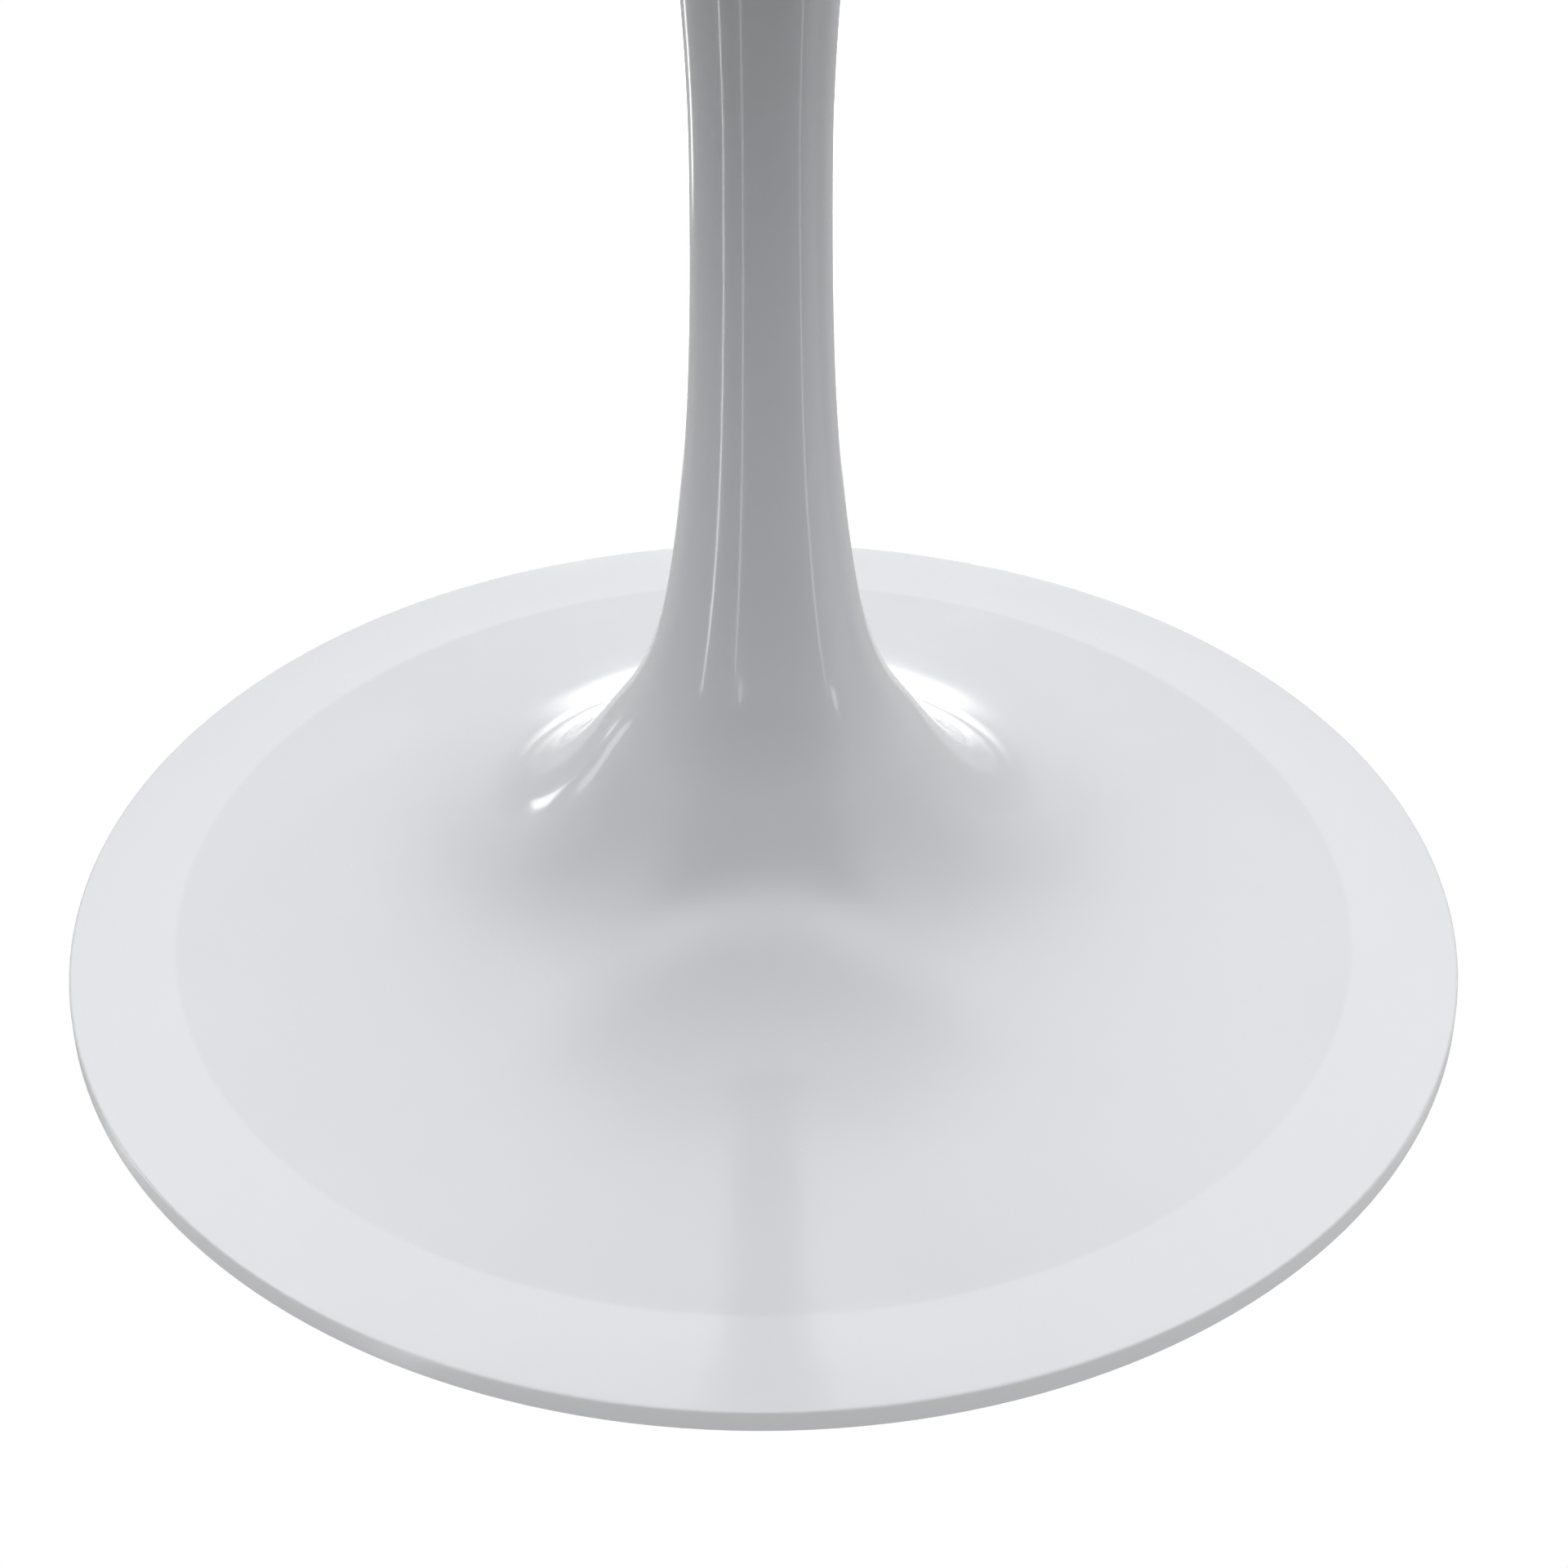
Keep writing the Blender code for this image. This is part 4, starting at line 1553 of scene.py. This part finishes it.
@dataclass
class Studio:
    """A plain pale floor under soft light that is strong behind and above and weak in front."""

    floor_radius: float = 9.0
    camera_distance: float = 1.375
    camera_rise: float = math.radians(38.23)
    camera_pitch: float = math.radians(36.256)
    camera_side: float = 0.0073
    lens: float = 86.74
    white: float = 1.0
    window: float = 3.6
    window_edge: tuple[float, float] = (0.07, 0.23)
    window_top: tuple[float, float] = (0.09, 0.17)
    low_front: float = 0.05
    low_left: float = 0.24
    low_right: float = 0.40
    low_back: float = 0.60
    high_front: float = 2.24
    high_back: float = 1.70
    zenith: float = 1.0
    zenith_tilt: float = math.radians(10.0)
    zenith_reach: float = math.radians(33.0)
    floor_front: float = 0.20
    floor_left: float = 0.30
    floor_right: float = 0.33
    floor_back: float = 0.50
    apron: float = 0.35
    apron_sides: float = 0.6
    near_floor: tuple[float, float] = (0.30, 0.42)
    strips: tuple[Strip, ...] = (
        Strip(-119.5, 0.28, 1.2, 0.008, 6.5),
        Strip(-152.0, 0.28, 1.2, 0.007, 3.2),
        Strip(-158.5, 1.20, 3.5, 0.070, 1.8),
        Strip(116.5, 0.28, 1.2, 0.007, 2.6),
        Strip(110.0, 1.00, 2.6, 0.050, 3.0),
        Strip(95.0, 0.28, 1.2, 0.130, 0.18),
        Strip(-43.5, 0.60, 1.1, 0.036, 2.6),
        Strip(-55.0, 0.95, 2.4, 0.060, 1.1),
    )

    def build(self) -> None:
        """Set up the view, the light and the floor."""
        scene = bpy.context.scene
        scene.view_settings.view_transform = "Standard"
        self._camera(scene)
        self._world(scene)
        self._floor(scene)

    def _camera(self, scene: bpy.types.Scene) -> None:
        """Aim the camera down at the base.

        Args:
            scene: The scene that gets it.
        """
        data = bpy.data.cameras.new("camera")
        data.lens = self.lens
        camera = bpy.data.objects.new("camera", data)
        reach = self.camera_distance * math.cos(self.camera_rise)
        height = self.camera_distance * math.sin(self.camera_rise) + Pedestal.rim_top
        camera.location = (self.camera_side, -reach, height)
        camera.rotation_euler = (math.pi / 2.0 - self.camera_pitch, 0.0, 0.0)
        scene.collection.objects.link(camera)
        scene.camera = camera

    @staticmethod
    def _quarters(across: Sock, depth: Sock) -> dict[Quarter, Sock]:
        """Soft shares of the four quarters at a direction or a place on the floor.

        Args:
            across: Its X.
            depth: Its Y.

        Returns:
            Each quarter's share. The shares add up to one.
        """
        reach = (across * across + depth * depth + 0.0001).math("SQRT")
        facing = depth / reach
        back = facing.ramp(0.20, 0.80)
        front = facing.ramp(-0.80, -0.20, 1.0, 0.0)
        aside = 1.0 - back - front
        right = (across / reach).ramp(-0.10, 0.10)
        return {
            Quarter.BACK: back,
            Quarter.FRONT: front,
            Quarter.RIGHT: aside * right,
            Quarter.LEFT: aside * (1.0 - right),
        }

    def _world(self, scene: bpy.types.Scene) -> None:
        """White to the camera, and soft light by direction to everything else.

        Args:
            scene: The scene that gets it.
        """
        world = bpy.data.worlds.new("soft_studio")
        world.use_nodes = True
        world.node_tree.nodes.clear()
        pad = Pad(world.node_tree)
        way = pad.out("ShaderNodeTexCoord", result="Generated")
        parts = pad.node("ShaderNodeSeparateXYZ", {}, {0: way})
        across, depth, up = (Sock(pad, parts.outputs[axis]) for axis in "XYZ")
        share = self._quarters(across, depth)
        low = share[Quarter.FRONT] * self.low_front + share[Quarter.LEFT] * self.low_left
        low = low + share[Quarter.RIGHT] * self.low_right + share[Quarter.BACK] * self.low_back
        sides = share[Quarter.LEFT] + share[Quarter.RIGHT]
        high = (share[Quarter.FRONT] + sides * 0.5) * self.high_front
        high = high + (share[Quarter.BACK] + sides * 0.5) * self.high_back
        risen = share[Quarter.FRONT] * up.ramp(0.52, 0.68)
        risen = risen + (1.0 - share[Quarter.FRONT]) * up.ramp(0.22, 0.84)
        level = low + risen * (high - low)
        tilt = self.zenith_tilt
        towards = up * math.cos(tilt) - depth * math.sin(tilt)
        patch = towards.ramp(math.cos(self.zenith_reach * 1.3), math.cos(self.zenith_reach * 0.7))
        level = level + patch * (self.zenith - level)
        window = across.math("ABSOLUTE").ramp(*self.window_edge, 1.0, 0.0) * depth.ramp(0.5, 0.8)
        window = window * up.ramp(*self.window_top, 1.0, 0.0)
        level = level + window * self.window
        seen = pad.out("ShaderNodeLightPath", {}, {}, "Is Camera Ray")
        strength = level + seen * (self.white - level)
        plain_white = (1.0, 1.0, 1.0, 1.0)
        light = pad.out("ShaderNodeBackground", {}, {"Color": plain_white, "Strength": strength})
        pad.node("ShaderNodeOutputWorld", {}, {"Surface": light})
        scene.world = world

    def _floor(self, scene: bpy.types.Scene) -> None:
        """A floor that is seen from above only and gives back the studio's light.

        Args:
            scene: The scene that gets it.
        """
        material = bpy.data.materials.new("studio_floor")
        material.use_nodes = True
        material.node_tree.nodes.clear()
        pad = Pad(material.node_tree)
        place = pad.out("ShaderNodeTexCoord", result="Object")
        parts = pad.node("ShaderNodeSeparateXYZ", {}, {0: place})
        across, depth = (Sock(pad, parts.outputs[axis]) for axis in "XY")
        share = self._quarters(across, depth)
        level = share[Quarter.FRONT] * self.floor_front + share[Quarter.LEFT] * self.floor_left
        level = level + share[Quarter.RIGHT] * self.floor_right + share[Quarter.BACK] * self.floor_back
        aside = across.math("ABSOLUTE") / (depth.math("ABSOLUTE") * 0.13 + 0.10)
        window = aside.ramp(0.55, 1.40, 1.0, 0.0) * depth.ramp(*self.near_floor)
        level = level + window * self.window
        reach = (across * across + depth * depth).math("SQRT")
        apron = share[Quarter.FRONT] + (share[Quarter.LEFT] + share[Quarter.RIGHT]) * self.apron_sides
        level = level + apron * reach.ramp(*self.near_floor, 1.0, 0.0) * self.apron
        for strip in self.strips:
            level = level + strip.glow(pad, across, depth)
        path = pad.node("ShaderNodeLightPath")
        seen = Sock(pad, path.outputs["Is Camera Ray"])
        strength = level + seen * (self.white - level)
        plain_white = (1.0, 1.0, 1.0, 1.0)
        glow = pad.out("ShaderNodeEmission", {}, {"Color": plain_white, "Strength": strength})
        clear = pad.out("ShaderNodeBsdfTransparent")
        under = pad.out("ShaderNodeNewGeometry", {}, {}, "Backfacing")
        mixed = pad.out("ShaderNodeMixShader", {}, {0: under, 1: glow, 2: clear})
        pad.node("ShaderNodeOutputMaterial", {}, {"Surface": mixed})
        material.cycles.emission_sampling = "NONE"
        shape = bmesh.new()
        bmesh.ops.create_circle(shape, cap_ends=True, segments=96, radius=self.floor_radius)
        mesh = bpy.data.meshes.new("studio_floor")
        shape.to_mesh(mesh)
        shape.free()
        mesh.materials.append(material)
        floor = bpy.data.objects.new("studio_floor", mesh)
        scene.collection.objects.link(floor)


def main() -> None:
    """Build and dress the table, set up the studio and report each part."""
    logging.basicConfig(level=logging.INFO, format="%(name)s %(message)s")
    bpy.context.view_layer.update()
    shop = Shop()
    # The pedestal's lacquer is painted lighter outside the outline's band: painted light on the base's
    # outer ring.
    pedestal_lacquer = GlossLacquer("pedestal_lacquer", band_radius=Pedestal.band[0]).material()
    # The top's white is painted darker than the pedestal's same lacquer: painted shade that keeps its
    # brightly lit upper face a little below the white backdrop.
    top_lacquer = GlossLacquer(
        "top_lacquer",
        white=(0.715, 0.720, 0.735),
        shade=(0.700, 0.706, 0.724),
        roughness=0.34,
        coat=0.3,
        wave_scale=8.0,
        wave_depth=0.0002,
    ).material()
    casting = SandCasting("raw_casting").material()
    zinc = ZincPlate("zinc_plate").material()
    black = CoatedIron("black_powder_coat", lump_depth=0.00004).material()
    iron = CoatedIron(
        "cast_iron",
        (0.045, 0.045, 0.047),
        (0.085, 0.084, 0.083),
        roughness=0.62,
        texture_depth=0.00030,
        lump_depth=0.0012,
    ).material()
    nylon = Nylon("black_nylon").material()

    Pedestal(shop, pedestal_lacquer, casting).build()
    Tabletop(shop, top_lacquer).build()
    MountingPlate(shop, black, zinc).build()
    Ballast(shop, iron, zinc).build()
    LevellingGlides(shop, nylon, zinc).build()
    Studio().build()


if __name__ == "__main__":
    main()
